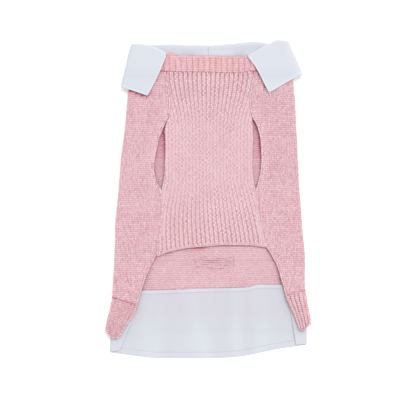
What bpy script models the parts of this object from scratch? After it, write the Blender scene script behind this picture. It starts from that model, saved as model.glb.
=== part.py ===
"""Knitted dog pullover with a shirt collar and a shirt tail, laid flat with its belly side up.

The back panel is the lowest layer. It turns up round both sides and lies on itself as two
wraps, and the ribbed belly panel fills the space between them, open to them at two leg slits.
A ribbed band goes round the neck and another along the back's hem. The shirt collar stands
inside the neck band, rolls over its top edge and falls outside it, and the shirt tail is sewn
inside the back, just above the hem band.

X runs across the garment, Y from hem to neck and Z up from the surface that it lies on.
The tables are in millimetres and the meshes in metres.
"""

from collections import namedtuple
from types import SimpleNamespace

import bmesh
import bpy
import numpy as np

MILLIMETRE = 0.001

# Cloth
KNIT = 2.2  # thickness of the knitted wall
RIB_RELIEF = 0.8  # height of a rib on that wall
COTTON = 1.0  # shirt cloth, pressed double
SEAM_GAP = 0.3  # between two pieces sewn edge to edge
LAYER_GAP = 0.4  # between two pieces that lie on each other

# Places round the flattened tube, positive to the right and negative to the left.
# Between them a place is a share of the stretch, so 1.5 is halfway round a side fold.
BACK, FOLD_LOW, FOLD_HIGH, EDGE, FRONT = 0, 1, 2, 3, 4
PLACE_MM = (0, 95, 103, 145, 195)  # how far round from the back's centre each place is, nominally

# Seen from above: the side folds, the wraps' edges, and how far the belly panel stands off
# each edge at the leg slits.
OutlineRow = namedtuple("OutlineRow", "y left_edge left_fold right_fold right_edge left_slit right_slit")
OUTLINE_ROWS = (
    OutlineRow(168.0, -47.0, -83.3, 90.0, 50.0, 0.0, 0.0),
    OutlineRow(139.0, -45.8, -84.9, 92.7, 49.5, 0.0, 0.0),
    OutlineRow(119.0, -42.4, -87.7, 94.7, 45.8, 0.0, 0.0),
    OutlineRow(105.0, -41.1, -89.1, 96.0, 45.1, 0.0, 0.0),
    OutlineRow(91.0, -43.2, -90.4, 96.6, 47.9, 0.0, 0.0),
    OutlineRow(80.0, -48.2, -91.5, 97.0, 53.5, 0.8, 4.5),
    OutlineRow(64.0, -54.3, -93.5, 98.2, 57.0, 6.9, 7.6),
    OutlineRow(45.0, -57.8, -95.9, 98.8, 58.1, 10.2, 9.1),
    OutlineRow(33.0, -59.0, -97.0, 99.7, 57.3, 10.9, 8.3),
    OutlineRow(20.0, -56.6, -98.0, 100.1, 54.7, 7.2, 4.5),
    OutlineRow(10.0, -51.5, -98.6, 100.8, 52.7, 0.5, 0.4),
    OutlineRow(-8.0, -49.5, -100.5, 102.1, 53.5, 0.0, 0.0),
    OutlineRow(-30.0, -50.8, -102.4, 103.7, 57.2, 0.0, 0.0),
    OutlineRow(-50.0, -54.7, -102.6, 105.6, 62.4, 0.0, 0.0),
    OutlineRow(-60.0, -56.4, -103.1, 106.5, 68.5, 0.0, 0.0),
    OutlineRow(-73.0, -62.6, -103.6, 106.7, 75.2, 0.0, 0.0),
    OutlineRow(-90.0, -69.6, -104.5, 106.5, 80.4, 0.0, 0.0),
    OutlineRow(-108.0, -75.3, -105.8, 108.4, 85.4, 0.0, 0.0),
    OutlineRow(-124.0, -79.9, -109.1, 111.4, 92.4, 0.0, 0.0),
    OutlineRow(-134.0, -86.1, -111.6, 113.2, 96.4, 0.0, 0.0),
    OutlineRow(-146.0, -94.2, -113.5, 113.5, 100.9, 0.0, 0.0),
    OutlineRow(-153.0, -98.8, -113.5, 113.5, 103.5, 0.0, 0.0),
)

# Seen from the side: the underside of the back, and the underside of the top layer at the folds
# and near the middle. It keeps the fold's height over hold and comes down over the next fall.
HeightRow = namedtuple("HeightRow", "y floor fold middle hold fall")
HEIGHT_ROWS = (
    HeightRow(175.0, 1.4, 7.0, 5.6, 46.0, 20.0),
    HeightRow(145.0, 1.4, 7.0, 5.6, 46.0, 20.0),
    HeightRow(139.0, 1.4, 6.6, 5.2, 44.0, 20.0),
    HeightRow(119.0, 1.4, 4.9, 4.3, 20.0, 20.0),
    HeightRow(104.0, 0.0, 3.8, 3.2, 0.0, 14.0),
    HeightRow(80.0, 0.0, 3.4, 2.8, 0.0, 14.0),
    HeightRow(-70.0, 0.0, 3.4, 2.8, 0.0, 14.0),
    HeightRow(-92.0, 0.0, 5.8, 5.8, 20.0, 20.0),
    HeightRow(-143.0, 0.0, 5.8, 5.5, 0.0, 14.0),
    HeightRow(-153.0, 0.0, 5.0, 3.9, 0.0, 14.0),
)

NeckRow = namedtuple("NeckRow", "place seam top")
NECK_ROWS = (
    NeckRow(-4.00, 138.9, 157.4),
    NeckRow(-3.24, 139.4, 157.4),
    NeckRow(-3.13, 139.7, 161.2),  # the band's end is pushed up beside the collar's left wing
    NeckRow(-3.07, 139.8, 160.4),
    NeckRow(-3.00, 140.0, 157.2),
    NeckRow(-1.50, 143.0, 161.0),
    NeckRow(0.00, 145.6, 164.5),
    NeckRow(1.50, 143.0, 161.5),
    NeckRow(3.00, 140.8, 156.4),
    NeckRow(4.00, 138.9, 157.4),
)

HemRow = namedtuple("HemRow", "place seam hem")
HEM_ROWS = (
    HemRow(-3.0, -117.2, -152.7),
    HemRow(-2.5, -112.6, -152.6),
    HemRow(-2.1, -109.5, -150.4),
    HemRow(-1.5, -107.5, -143.0),
    HemRow(-1.0, -106.6, -139.5),
    HemRow(0.0, -99.7, -132.7),
    HemRow(1.0, -99.9, -134.5),
    HemRow(1.5, -100.2, -137.0),
    HemRow(2.1, -101.2, -139.6),
    HemRow(2.6, -104.0, -144.2),
    HemRow(3.0, -106.6, -141.6),
)

BellyHemRow = namedtuple("BellyHemRow", "x y")
BELLY_HEM_ROWS = (
    BellyHemRow(-57.0, -63.4),
    BellyHemRow(-44.3, -58.5),
    BellyHemRow(-24.8, -54.1),
    BellyHemRow(-5.1, -52.1),
    BellyHemRow(20.5, -50.4),
    BellyHemRow(47.0, -50.8),
    BellyHemRow(66.0, -53.6),
)

# The belly panel's 1x1 rib: X of its middle groove, the width of a rib, and how much of its
# relief is left. The rib is closer and flatter between the leg slits than at its two ends.
RibRow = namedtuple("RibRow", "y middle pitch relief")
BELLY_RIB_ROWS = (
    RibRow(132.0, -2.3, 5.05, 1.0),
    RibRow(121.0, -2.3, 4.80, 1.0),
    RibRow(110.0, -2.3, 4.50, 0.85),
    RibRow(99.0, -2.3, 4.15, 0.75),
    RibRow(88.0, -2.3, 3.88, 0.6),
    RibRow(77.0, -2.3, 3.75, 0.5),
    RibRow(55.0, -2.3, 3.75, 0.35),
    RibRow(22.0, -2.1, 3.75, 0.45),
    RibRow(11.0, -1.6, 3.95, 0.5),
    RibRow(0.0, -1.3, 4.20, 0.65),
    RibRow(-22.0, -0.2, 4.60, 0.9),
    RibRow(-44.0, 1.9, 4.80, 1.0),
    RibRow(-63.0, 3.6, 4.85, 1.0),
)
RIBS_LEFT, RIBS_RIGHT = 13, 14  # of the middle groove; the outer ones run out at the panel's edges
RUN_OUT = 0.36  # what is left there of the width of such a rib
NECK_RIBS = 14  # on each half of the band's belly side
HEM_RIBS_LEFT, HEM_RIBS_RIGHT = 6, 4  # on the hem band's two wrapped ends
BELLY_SHARE = 0.79  # of the back panel's length along its edges that the belly panel fills
HEM_ROLL = 3.0  # plain roll along the belly panel's lower edge

TailRow = namedtuple("TailRow", "y left_edge left_fold right_fold right_edge")
TAIL_ROWS = (
    TailRow(-94.0, -75.1, -101.5, 102.5, 83.4),
    TailRow(-108.0, -76.2, -102.8, 104.2, 86.0),
    TailRow(-124.0, -80.1, -105.5, 106.0, 90.6),
    TailRow(-131.0, -82.4, -106.6, 107.2, 91.7),
    TailRow(-141.0, -86.6, -108.0, 108.5, 93.4),
    TailRow(-160.0, -94.7, -108.0, 108.6, 96.4),
    TailRow(-168.0, -98.1, -108.0, 108.6, 97.5),
)
TailLineRow = namedtuple("TailLineRow", "place top bottom")
TAIL_LINE_ROWS = (
    TailLineRow(-3.00, -99.7, -166.3),
    TailLineRow(-1.50, -99.7, -167.6),
    TailLineRow(-1.00, -99.9, -168.4),
    TailLineRow(-0.72, -100.3, -172.3),
    TailLineRow(-0.52, -99.8, -174.5),
    TailLineRow(0.00, -97.8, -174.6),
    TailLineRow(0.28, -97.3, -173.2),
    TailLineRow(0.43, -96.4, -170.8),
    TailLineRow(0.53, -93.9, -168.6),
    TailLineRow(0.75, -93.8, -163.8),
    TailLineRow(1.00, -94.2, -160.0),
    TailLineRow(1.50, -94.2, -159.2),
    TailLineRow(3.00, -94.0, -159.8),
)
TAIL_DROP_START, TAIL_DROP = 1.0, 8.0  # past the knit's hem the tail comes down to the floor
TAIL_FOLD_RISE = 1.6  # between the tail's lower and upper layers

# Each collar half from the centre back round to its front end: its rolled top line, the edge
# of its fall and the depth of the stand inside the neck.
CollarRow = namedtuple("CollarRow", "place roll fall stand")
LEFT_COLLAR_ROWS = (
    CollarRow(0.00, 169.4, 122.0, 17.0),
    CollarRow(0.25, 169.7, 122.0, 17.0),
    CollarRow(0.50, 170.4, 122.0, 17.0),
    CollarRow(0.90, 169.8, 122.4, 17.0),
    CollarRow(1.50, 170.7, 122.6, 17.0),
    CollarRow(2.20, 170.2, 120.4, 16.0),
    CollarRow(2.60, 167.2, 117.0, 13.0),
    CollarRow(3.00, 160.2, 113.4, 10.0),
)
RIGHT_COLLAR_ROWS = (
    CollarRow(0.00, 168.9, 122.0, 17.0),
    CollarRow(0.30, 171.1, 122.0, 17.0),
    CollarRow(0.62, 173.3, 124.0, 17.0),
    CollarRow(0.80, 171.2, 127.0, 17.0),
    CollarRow(1.50, 173.4, 136.4, 17.0),
    CollarRow(2.20, 174.6, 132.0, 17.0),
    CollarRow(2.45, 170.2, 127.4, 15.0),
    CollarRow(2.70, 165.2, 122.4, 12.0),
    CollarRow(3.00, 158.2, 116.6, 10.0),
)
# X at the rolled line and at the fall's edge; the front end bows by the last value between them.
CollarSide = namedtuple("CollarSide", "side rows fold_at_roll fold_at_fall end_at_roll end_at_fall bow")
COLLAR_SIDES = {
    "collar_left": CollarSide(-1, LEFT_COLLAR_ROWS, -85.4, -96.3, -45.9, -66.6, 2.4),
    "collar_right": CollarSide(1, RIGHT_COLLAR_ROWS, 89.4, 104.6, 43.5, 66.6, 0.6),
}
ROLL_RADIUS = 2.6  # of the collar's roll over the band, along Y
STAND_BACK, STAND_FRONT = 4.5, 5.95  # height of the stand's middle surface behind and in front
RIB_COVER_START, RIB_COVER = 131.0, 8.0  # the wings rise on to the band's ribs over this stretch

# Colours, as sRGB
PINK_STOCKINETTE = "E4BAC0"
PINK_RIB = "E2B8BF"
WHITE_POPLIN = "DFE2EB"


def curve(stations, values):
    """A monotone cubic through the values, as a function of an array of stations."""
    order = np.argsort(stations)
    at = np.asarray(stations, float)[order]
    value = np.asarray(values, float)[order]
    step = np.diff(at)
    slope = np.diff(value) / step
    tangent = np.concatenate([slope[:1], np.zeros(len(slope) - 1), slope[-1:]])
    turning = slope[:-1] * slope[1:] <= 0
    weighted = slope[:-1] * slope[1:] / np.where(turning, 1.0, slope[:-1] + slope[1:])
    tangent[1:-1] = np.where(turning, 0.0, 2 * weighted)

    def read(where):
        where = np.clip(where, at[0], at[-1])
        i = np.clip(np.searchsorted(at, where) - 1, 0, len(step) - 1)
        t = (where - at[i]) / step[i]
        rise = t * t * (3 - 2 * t)
        bend = step[i] * t * (1 - t) * ((1 - t) * tangent[i] - t * tangent[i + 1])
        return value[i] + rise * (value[i + 1] - value[i]) + bend

    return read


def table(rows, station=lambda key: key):
    """One curve for each named column, read by the first column."""
    key, *names = rows[0]._fields
    stations = [station(getattr(row, key)) for row in rows]
    columns = {name: curve(stations, [getattr(row, name) for row in rows]) for name in names}
    return SimpleNamespace(**columns)


def travel(place):
    """Nominal distance round the tube from the back's centre, signed like the place."""
    return np.sign(place) * np.interp(np.abs(place), range(len(PLACE_MM)), PLACE_MM)


def place_at(distance):
    """The place at a nominal distance round the tube."""
    return np.sign(distance) * np.interp(np.abs(distance), PLACE_MM, range(len(PLACE_MM)))


def smooth(share):
    """0 to 1 with level ends."""
    share = np.clip(share, 0.0, 1.0)
    return share * share * (3 - 2 * share)


OUTLINE = table(OUTLINE_ROWS)
HEIGHTS = table(HEIGHT_ROWS)
NECK = table(NECK_ROWS, travel)
HEM = table(HEM_ROWS, travel)
BELLY_HEM = table(BELLY_HEM_ROWS)
BELLY_RIBS = table(BELLY_RIB_ROWS)
TAIL = table(TAIL_ROWS)
TAIL_LINES = table(TAIL_LINE_ROWS, travel)


def fold_radius(y):
    """Inner radius of the knit's side folds."""
    return (HEIGHTS.fold(y) - HEIGHTS.floor(y) - KNIT) / 2


def underside(x, y):
    """Height of the top layer's inner side: the wraps, the belly panel and the band's front."""
    radius = fold_radius(y)
    from_left = x - (OUTLINE.left_fold(y) + KNIT + radius)
    from_right = (OUTLINE.right_fold(y) - KNIT - radius) - x
    inwards = np.minimum(from_left, from_right)
    lowered = smooth((inwards - HEIGHTS.hold(y)) / HEIGHTS.fall(y))
    return HEIGHTS.fold(y) + (HEIGHTS.middle(y) - HEIGHTS.fold(y)) * lowered


def ring(place, y, centre_x, fold_x, edge_x, front_x, low, high, over):
    """Points and outward normals of one surface round a flattened tube.

    The surface runs at height low from centre_x to the fold, whose outermost point is fold_x,
    turns up to height high, and follows over(x, y) to edge_x and on to front_x.
    """
    side = np.where(place < 0, -1.0, 1.0)
    stretch = np.minimum(np.abs(place).astype(int), 3)
    run = np.abs(place) - stretch
    radius, middle = (high - low) / 2, (high + low) / 2
    fold_centre = fold_x - side * radius
    sine, cosine = np.sin(np.pi * run), np.cos(np.pi * run)

    x = np.choose(stretch, [
        centre_x + (fold_centre - centre_x) * run,
        fold_centre + side * radius * sine,
        fold_centre + (edge_x - fold_centre) * run,
        edge_x + (front_x - edge_x) * run,
    ])
    top = over(x, y)
    z = np.choose(stretch, [low + 0 * run, middle - radius * cosine, top, top])
    normal_x = np.choose(stretch, [0 * run, side * sine, 0 * run, 0 * run])
    normal_z = np.choose(stretch, [-1 + 0 * run, -cosine, 1 + 0 * run, 1 + 0 * run])
    return np.stack([x, y, z], -1), np.stack([normal_x, 0 * run, normal_z], -1)


def knit_ring(place, y):
    """Inner surface of the knitted tube, with its outward normals."""
    left = place < 0
    return ring(
        place, y,
        centre_x=(OUTLINE.left_fold(y) + OUTLINE.right_fold(y)) / 2,
        fold_x=np.where(left, OUTLINE.left_fold(y) + KNIT, OUTLINE.right_fold(y) - KNIT),
        edge_x=np.where(left, OUTLINE.left_edge(y), OUTLINE.right_edge(y)),
        front_x=(OUTLINE.left_edge(y) + OUTLINE.right_edge(y)) / 2,
        low=HEIGHTS.floor(y) + KNIT, high=HEIGHTS.fold(y), over=underside,
    )


def shares(*stretches):
    """Places from stretches of (start, stop, steps), each starting where the last one stopped."""
    found = [stretches[0][0]]
    for start, stop, steps in stretches:
        found.extend(np.linspace(start, stop, steps + 1)[1:])
    return np.array(found)


# A rib's columns as shares of its pitch, and the share of the relief that each stands out.
RIB_COLUMNS = ((0.0, 0.0), (0.33, 1.0), (0.67, 1.0))


def rib_places(start, stop, ribs):
    """Places and relief of the columns of evenly wide ribs, without the one at stop."""
    grooves = np.linspace(travel(start), travel(stop), ribs + 1)
    pitch = grooves[1] - grooves[0]
    return [(float(place_at(groove + share * pitch)), height)
            for groove in grooves[:-1] for share, height in RIB_COLUMNS]


def plain_places(start, stop, steps):
    """Places of smooth columns, without the one at stop."""
    return [(float(place), 0.0) for place in np.linspace(start, stop, steps + 1)[:-1]]


def wall(name, material, outer, inner, behind=None, closed=False):
    """One closed solid between two grids of points in millimetres.

    behind lists the outer columns that the inner grid's columns lie behind; the inner grid may
    have fewer. closed joins the last column to the first.
    """
    rows, columns = outer.shape[:2]
    behind = list(range(columns)) if behind is None else list(behind)
    mesh = bmesh.new()
    face_side = [[mesh.verts.new(point * MILLIMETRE) for point in row] for row in outer]
    plain_side = [[mesh.verts.new(point * MILLIMETRE) for point in row] for row in inner]
    ends = behind[1:] + ([columns] if closed else [])
    spans = [(k, (k + 1) % len(behind), behind[k], end) for k, end in enumerate(ends)]

    for row in range(rows - 1):
        for column in range(columns if closed else columns - 1):
            beside = (column + 1) % columns
            mesh.faces.new((face_side[row][column], face_side[row][beside],
                            face_side[row + 1][beside], face_side[row + 1][column]))
        for k, after, _, _ in spans:
            mesh.faces.new((plain_side[row][k], plain_side[row + 1][k],
                            plain_side[row + 1][after], plain_side[row][after]))
        if not closed:
            for column, k in ((0, 0), (-1, -1)):
                mesh.faces.new((face_side[row][column], face_side[row + 1][column],
                                plain_side[row + 1][k], plain_side[row][k]))
    for row in (0, rows - 1):
        for k, after, first, last in spans:
            rim = [face_side[row][column % columns] for column in range(first, last + 1)]
            mesh.faces.new(rim + [plain_side[row][after], plain_side[row][k]])

    bmesh.ops.recalc_face_normals(mesh, faces=mesh.faces)
    data = bpy.data.meshes.new(name)
    mesh.to_mesh(data)
    mesh.free()
    data.materials.append(material)
    data.shade_smooth()
    data.set_sharp_from_angle(angle=np.radians(40))
    made = bpy.data.objects.new(name, data)
    bpy.context.scene.collection.objects.link(made)
    return made


def knit_wall(name, material, places, relief, top, bottom, rows, closed=False):
    """A piece of the knitted tube between two lines round it, with relief on its outer side."""
    smooth_columns = [i for i, height in enumerate(relief) if height == 0]
    place = np.broadcast_to(places, (len(rows), len(places)))
    upper, lower = top(travel(place)), bottom(travel(place))
    y = upper + (lower - upper) * np.asarray(rows)[:, None]
    inner, normal = knit_ring(place, y)
    outer = inner + normal * (KNIT + RIB_RELIEF * np.asarray(relief)[:, None])
    return wall(name, material, outer, inner[:, smooth_columns], smooth_columns, closed)


# Rows down the belly panel's edges, as shares of its length; they are closest at the leg slits.
BELLY_ROWS = shares((0.0, 0.18, 3), (0.18, 0.30, 3), (0.30, 0.54, 5), (0.54, 0.68, 4),
                    (0.68, 0.94, 4), (0.94, 0.985, 1), (0.985, 1.0, 1))


def back_panel(material):
    """The back, with the wraps that it makes on the belly side."""
    places = shares((-EDGE, -FOLD_HIGH, 5), (-FOLD_HIGH, -FOLD_LOW, 6), (-FOLD_LOW, FOLD_LOW, 6),
                    (FOLD_LOW, FOLD_HIGH, 6), (FOLD_HIGH, EDGE, 5))
    rows = np.concatenate([BELLY_ROWS[:-2] * BELLY_SHARE, shares((BELLY_SHARE, 1.0, 5))])
    return knit_wall(
        "back_panel", material, places, np.zeros(len(places)),
        top=lambda at: NECK.seam(at) - SEAM_GAP / 2,
        bottom=lambda at: HEM.seam(at) + SEAM_GAP / 2, rows=rows,
    )


def belly_columns():
    """Rib number and relief of each column of the belly panel, as two arrays."""
    columns = [(rib + share, height)
               for rib in range(-RIBS_LEFT, RIBS_RIGHT) for share, height in RIB_COLUMNS]
    columns.append((RIBS_RIGHT, 0.0))
    return np.array(columns).T


def belly_x(number, y):
    """X of a column, and the share of its rib that the panel's edges leave."""
    left = OUTLINE.left_edge(y) + OUTLINE.left_slit(y) + SEAM_GAP
    right = OUTLINE.right_edge(y) - OUTLINE.right_slit(y) - SEAM_GAP
    middle, pitch = BELLY_RIBS.middle(y), BELLY_RIBS.pitch(y)
    x = np.maximum(middle + number * pitch, left + (number + RIBS_LEFT) * RUN_OUT)
    x = np.minimum(x, right - (RIBS_RIGHT - number) * RUN_OUT)
    rib = np.floor(number)
    from_left = (middle - left) / pitch + rib + 1
    from_right = (right - middle) / pitch - rib
    return x, np.clip(np.minimum(from_left, from_right), 0.0, 1.0)


def front_seam(x, y):
    """Y of the neck seam on the belly side, at x."""
    left, right = OUTLINE.left_edge(y), OUTLINE.right_edge(y)
    share = (x - left) / (right - left)
    place = np.where(share < 0.5, -EDGE - 2 * share, EDGE + 2 * (1 - share))
    return NECK.seam(travel(place))


def belly_panel(material):
    """The ribbed panel between the wraps."""
    number, relief = belly_columns()
    neck_y, hem_y = NECK_ROWS[0].seam, BELLY_HEM_ROWS[-1].y
    top = front_seam(belly_x(number, neck_y)[0], neck_y) - SEAM_GAP / 2
    bottom = BELLY_HEM.y(belly_x(number, hem_y)[0])
    y = top + (bottom - top) * BELLY_ROWS[:, None]
    x, width = belly_x(np.broadcast_to(number, y.shape), y)
    inner = np.stack([x, y, underside(x, y)], -1)
    roll = smooth((y - bottom) / HEM_ROLL)
    raised = RIB_RELIEF * relief * width * BELLY_RIBS.relief(y) * roll
    outer = inner + np.stack([0 * x, 0 * x, KNIT + raised], -1)
    grooves = [i for i, height in enumerate(relief) if height == 0]
    return wall("belly_panel", material, outer, inner[:, grooves], grooves)


def neck_band(material):
    """The ribbed ring round the neck; its ribs stand out on the belly side."""
    columns = (
        rib_places(-FRONT, -FOLD_HIGH, NECK_RIBS) + plain_places(-FOLD_HIGH, -FOLD_LOW, 6)
        + plain_places(-FOLD_LOW, FOLD_LOW, 6) + plain_places(FOLD_LOW, FOLD_HIGH, 6)
        + rib_places(FOLD_HIGH, FRONT, NECK_RIBS)
    )
    places, relief = np.array(columns).T
    return knit_wall(
        "neck_band", material, places, relief, top=NECK.top,
        bottom=lambda at: NECK.seam(at) + SEAM_GAP / 2, rows=shares((0.0, 1.0, 3)), closed=True,
    )


def hem_band(material):
    """The ribbed band along the back's lower edge; its ribs stand out on the wrapped ends."""
    columns = (
        rib_places(-EDGE, -FOLD_HIGH, HEM_RIBS_LEFT) + plain_places(-FOLD_HIGH, -FOLD_LOW, 6)
        + plain_places(-FOLD_LOW, FOLD_LOW, 6) + plain_places(FOLD_LOW, FOLD_HIGH, 6)
        + rib_places(FOLD_HIGH, EDGE, HEM_RIBS_RIGHT) + [(EDGE, 0.0)]
    )
    places, relief = np.array(columns).T
    return knit_wall(
        "hem_band", material, places, relief,
        top=lambda at: HEM.seam(at) - SEAM_GAP / 2, bottom=HEM.hem, rows=shares((0.0, 1.0, 6)),
    )


def cotton_wall(name, material, middle, normal):
    """Shirt cloth on both sides of a middle surface."""
    half = normal * COTTON / 2
    return wall(name, material, middle + half, middle - half)


def tail_drop(x, y):
    """How far past the knit's hem a point is, from 0 on the knit to 1 on the floor."""
    centre = (OUTLINE.left_fold(y) + OUTLINE.right_fold(y)) / 2
    fold = np.where(x < centre, OUTLINE.left_fold(y), OUTLINE.right_fold(y))
    place = np.sign(x - centre) * np.minimum((x - centre) / (fold - centre), 1.0) * FOLD_LOW
    return smooth((HEM.hem(travel(place)) - y - TAIL_DROP_START) / TAIL_DROP)


def tail_ring(place, y):
    """Middle surface of the shirt tail, with its outward normals."""
    left = place < 0
    fold_x = np.where(left, TAIL.left_fold(y) + COTTON / 2, TAIL.right_fold(y) - COTTON / 2)
    centre_x = (TAIL.left_fold(y) + TAIL.right_fold(y)) / 2
    on_knit = KNIT + LAYER_GAP
    share = np.clip(np.abs(place), BACK, FOLD_LOW)
    low = COTTON / 2 + on_knit * (1 - tail_drop(centre_x + (fold_x - centre_x) * share, y))
    return ring(
        place, y, centre_x, fold_x, edge_x=np.where(left, TAIL.left_edge(y), TAIL.right_edge(y)),
        front_x=centre_x, low=low, high=low + TAIL_FOLD_RISE, over=lambda x, y: low + TAIL_FOLD_RISE,
    )


def shirt_tail(material):
    """The shirt tail, which is folded over at the sides inside the back."""
    places = shares((-EDGE, -FOLD_HIGH, 3), (-FOLD_HIGH, -FOLD_LOW, 4), (-FOLD_LOW, FOLD_LOW, 14),
                    (FOLD_LOW, FOLD_HIGH, 4), (FOLD_HIGH, EDGE, 3))
    rows = shares((0.0, 0.4, 2), (0.4, 0.72, 7), (0.72, 1.0, 2))
    place = np.broadcast_to(places, (len(rows), len(places)))
    top, bottom = TAIL_LINES.top(travel(place)), TAIL_LINES.bottom(travel(place))
    middle, normal = tail_ring(place, top + (bottom - top) * rows[:, None])
    return cotton_wall("shirt_tail", material, middle, normal)


def over_knit(x, y):
    """Middle height of the collar's wings, which lie on the wraps and on the band's ribs."""
    ribs = RIB_RELIEF * smooth((y - RIB_COVER_START) / RIB_COVER)
    return underside(x, y) + KNIT + ribs + LAYER_GAP + COTTON / 2


def stand_ring(sizes, place, y):
    """Middle surface of the collar's stand, inside the neck band."""
    inwards = sizes.side * (KNIT + LAYER_GAP + COTTON / 2)
    fold = OUTLINE.left_fold(y) if sizes.side < 0 else OUTLINE.right_fold(y)
    return ring(
        place, y, centre_x=sizes.side * SEAM_GAP / 2, fold_x=fold - inwards,
        edge_x=sizes.end_at_roll, front_x=sizes.end_at_roll,
        low=STAND_BACK, high=STAND_FRONT, over=lambda x, y: STAND_FRONT + 0 * x,
    )


def fall_ring(sizes, place, y, share):
    """Middle surface of the collar's fall, outside the knit; share is 0 at the roll."""
    fold_x = sizes.fold_at_roll + (sizes.fold_at_fall - sizes.fold_at_roll) * share
    end_x = sizes.end_at_roll + (sizes.end_at_fall - sizes.end_at_roll) * share
    end_x = end_x - sizes.side * sizes.bow * 4 * share * (1 - share)
    fold_x = fold_x - sizes.side * COTTON / 2
    return ring(
        place, y, centre_x=sizes.side * SEAM_GAP / 2, fold_x=fold_x, edge_x=end_x, front_x=end_x,
        low=COTTON / 2 + 0 * y, high=over_knit(fold_x, y), over=over_knit,
    )


def collar_half(name, material):
    """One half of the collar: its stand, its roll over the neck band and its fall."""
    sizes = COLLAR_SIDES[name]
    lines = table(sizes.rows, travel)
    places = shares((BACK, FOLD_LOW, 6), (FOLD_LOW, FOLD_HIGH, 6), (FOLD_HIGH, EDGE, 6))
    roll = lines.roll(travel(places))
    base = roll - ROLL_RADIUS - COTTON / 2
    middle, normal = [], []
    for share in np.linspace(0.0, 1.0, 3)[:-1]:
        y = base - lines.stand(travel(places)) * (1 - share)
        point, outwards = stand_ring(sizes, sizes.side * places, y)
        middle.append(point)
        normal.append(-outwards)
    inside, _ = stand_ring(sizes, sizes.side * places, base)
    outside, outwards = fall_ring(sizes, sizes.side * places, base, 0.0)
    for angle in np.linspace(0.0, np.pi, 7):
        point = inside + (outside - inside) * (1 - np.cos(angle)) / 2
        point[:, 1] += ROLL_RADIUS * np.sin(angle)
        middle.append(point)
        normal.append(-np.cos(angle) * outwards + np.sin(angle) * np.array([0.0, 1.0, 0.0]))
    for share in np.linspace(0.0, 1.0, 6)[1:]:
        y = base + (lines.fall(travel(places)) - base) * share
        point, outwards = fall_ring(sizes, sizes.side * places, y, share)
        middle.append(point)
        normal.append(outwards)
    return cotton_wall(name, material, np.array(middle), np.array(normal))


def cloth(name, colour, roughness):
    """A plain cloth material; the colour is sRGB hex."""
    shares_of_light = [int(colour[i:i + 2], 16) / 255 for i in (0, 2, 4)]
    linear = [s / 12.92 if s <= 0.04045 else ((s + 0.055) / 1.055) ** 2.4 for s in shares_of_light]
    material = bpy.data.materials.new(name)
    material.use_nodes = True
    shader = material.node_tree.nodes["Principled BSDF"]
    shader.inputs["Base Color"].default_value = (*linear, 1.0)
    shader.inputs["Roughness"].default_value = roughness
    shader.inputs["Metallic"].default_value = 0.0
    material.diffuse_color = (*linear, 1.0)
    return material


def main():
    for obj in list(bpy.data.objects):
        bpy.data.objects.remove(obj)
    back_panel(cloth("stockinette_knit", PINK_STOCKINETTE, 0.95))
    belly_panel(cloth("belly_rib_knit", PINK_RIB, 0.95))
    neck_band(cloth("neck_rib_knit", PINK_RIB, 0.95))
    hem_band(cloth("hem_rib_knit", PINK_RIB, 0.95))
    shirt_tail(cloth("tail_poplin", WHITE_POPLIN, 0.85))
    for name in COLLAR_SIDES:
        collar_half(name, cloth(name + "_poplin", WHITE_POPLIN, 0.85))


main()
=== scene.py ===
"""Looks of a knitted dog pullover with a shirt collar and a shirt tail, laid flat with its belly side up.

Each piece is a thin shell of cloth with rounded rims, on the form that the construction gives it.
The knit's stitches and the shirt cloth's sewing threads are short strands laid on those shells.
Sizes are in millimetres; X runs across the garment, Y from hem to neck and Z up from the floor.
"""

import logging
from dataclasses import dataclass, field
from enum import Enum
from typing import Callable, NamedTuple, Sequence

import bmesh
import bpy
import numpy as np
from numpy.typing import NDArray
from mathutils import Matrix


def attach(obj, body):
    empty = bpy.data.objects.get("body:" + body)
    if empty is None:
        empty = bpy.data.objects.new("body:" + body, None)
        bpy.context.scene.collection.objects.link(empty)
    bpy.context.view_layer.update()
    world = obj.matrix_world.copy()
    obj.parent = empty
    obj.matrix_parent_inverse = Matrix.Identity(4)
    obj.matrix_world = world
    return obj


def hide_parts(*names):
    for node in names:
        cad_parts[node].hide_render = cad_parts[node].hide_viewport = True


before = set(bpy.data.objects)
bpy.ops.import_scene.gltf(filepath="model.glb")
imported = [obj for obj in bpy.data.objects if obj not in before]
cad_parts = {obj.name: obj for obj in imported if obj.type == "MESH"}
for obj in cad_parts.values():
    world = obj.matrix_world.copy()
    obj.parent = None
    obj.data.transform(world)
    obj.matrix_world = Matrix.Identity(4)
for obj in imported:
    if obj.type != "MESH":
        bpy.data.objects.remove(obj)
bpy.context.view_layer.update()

Array = NDArray[np.float64]
Surface = Callable[[Array, Array], tuple[Array, Array]]

LOG = logging.getLogger("pullover")
MILLIMETRE = 0.001
BODY = "root"


@dataclass(frozen=True)
class Cloth:
    """Thicknesses and gaps of the cloth that the garment is made from."""

    knit: float = 2.2
    rib_relief: float = 0.8
    cotton: float = 1.0
    seam_gap: float = 0.04  # sewn shut here; the solids stand 0.3 apart
    layer_gap: float = 0.4
    knit_rim: float = 0.9  # how far in from its edges a shell of knit is rounded
    cotton_rim: float = 0.5


CLOTH = Cloth()


class Side(Enum):
    """The garment's two sides, as signs of X."""

    LEFT = -1
    RIGHT = 1

    @property
    def index(self) -> int:
        """0 on the left and 1 on the right, for pairs of values."""
        return (self.value + 1) // 2


class Slot(Enum):
    """The record's material slots."""

    STOCKINETTE = "stockinette_knit"
    RIB = "rib_knit"
    POPLIN = "poplin"


# --- The lines that the garment lies on ---------------------------------------------------------

# Places round the flattened tube, positive to the right and negative to the left.
BACK, FOLD_LOW, FOLD_HIGH, EDGE, FRONT = 0, 1, 2, 3, 4
PLACE_MM = (0, 95, 103, 145, 195)
WRAP_MM = PLACE_MM[EDGE] - PLACE_MM[FOLD_HIGH]


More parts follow.
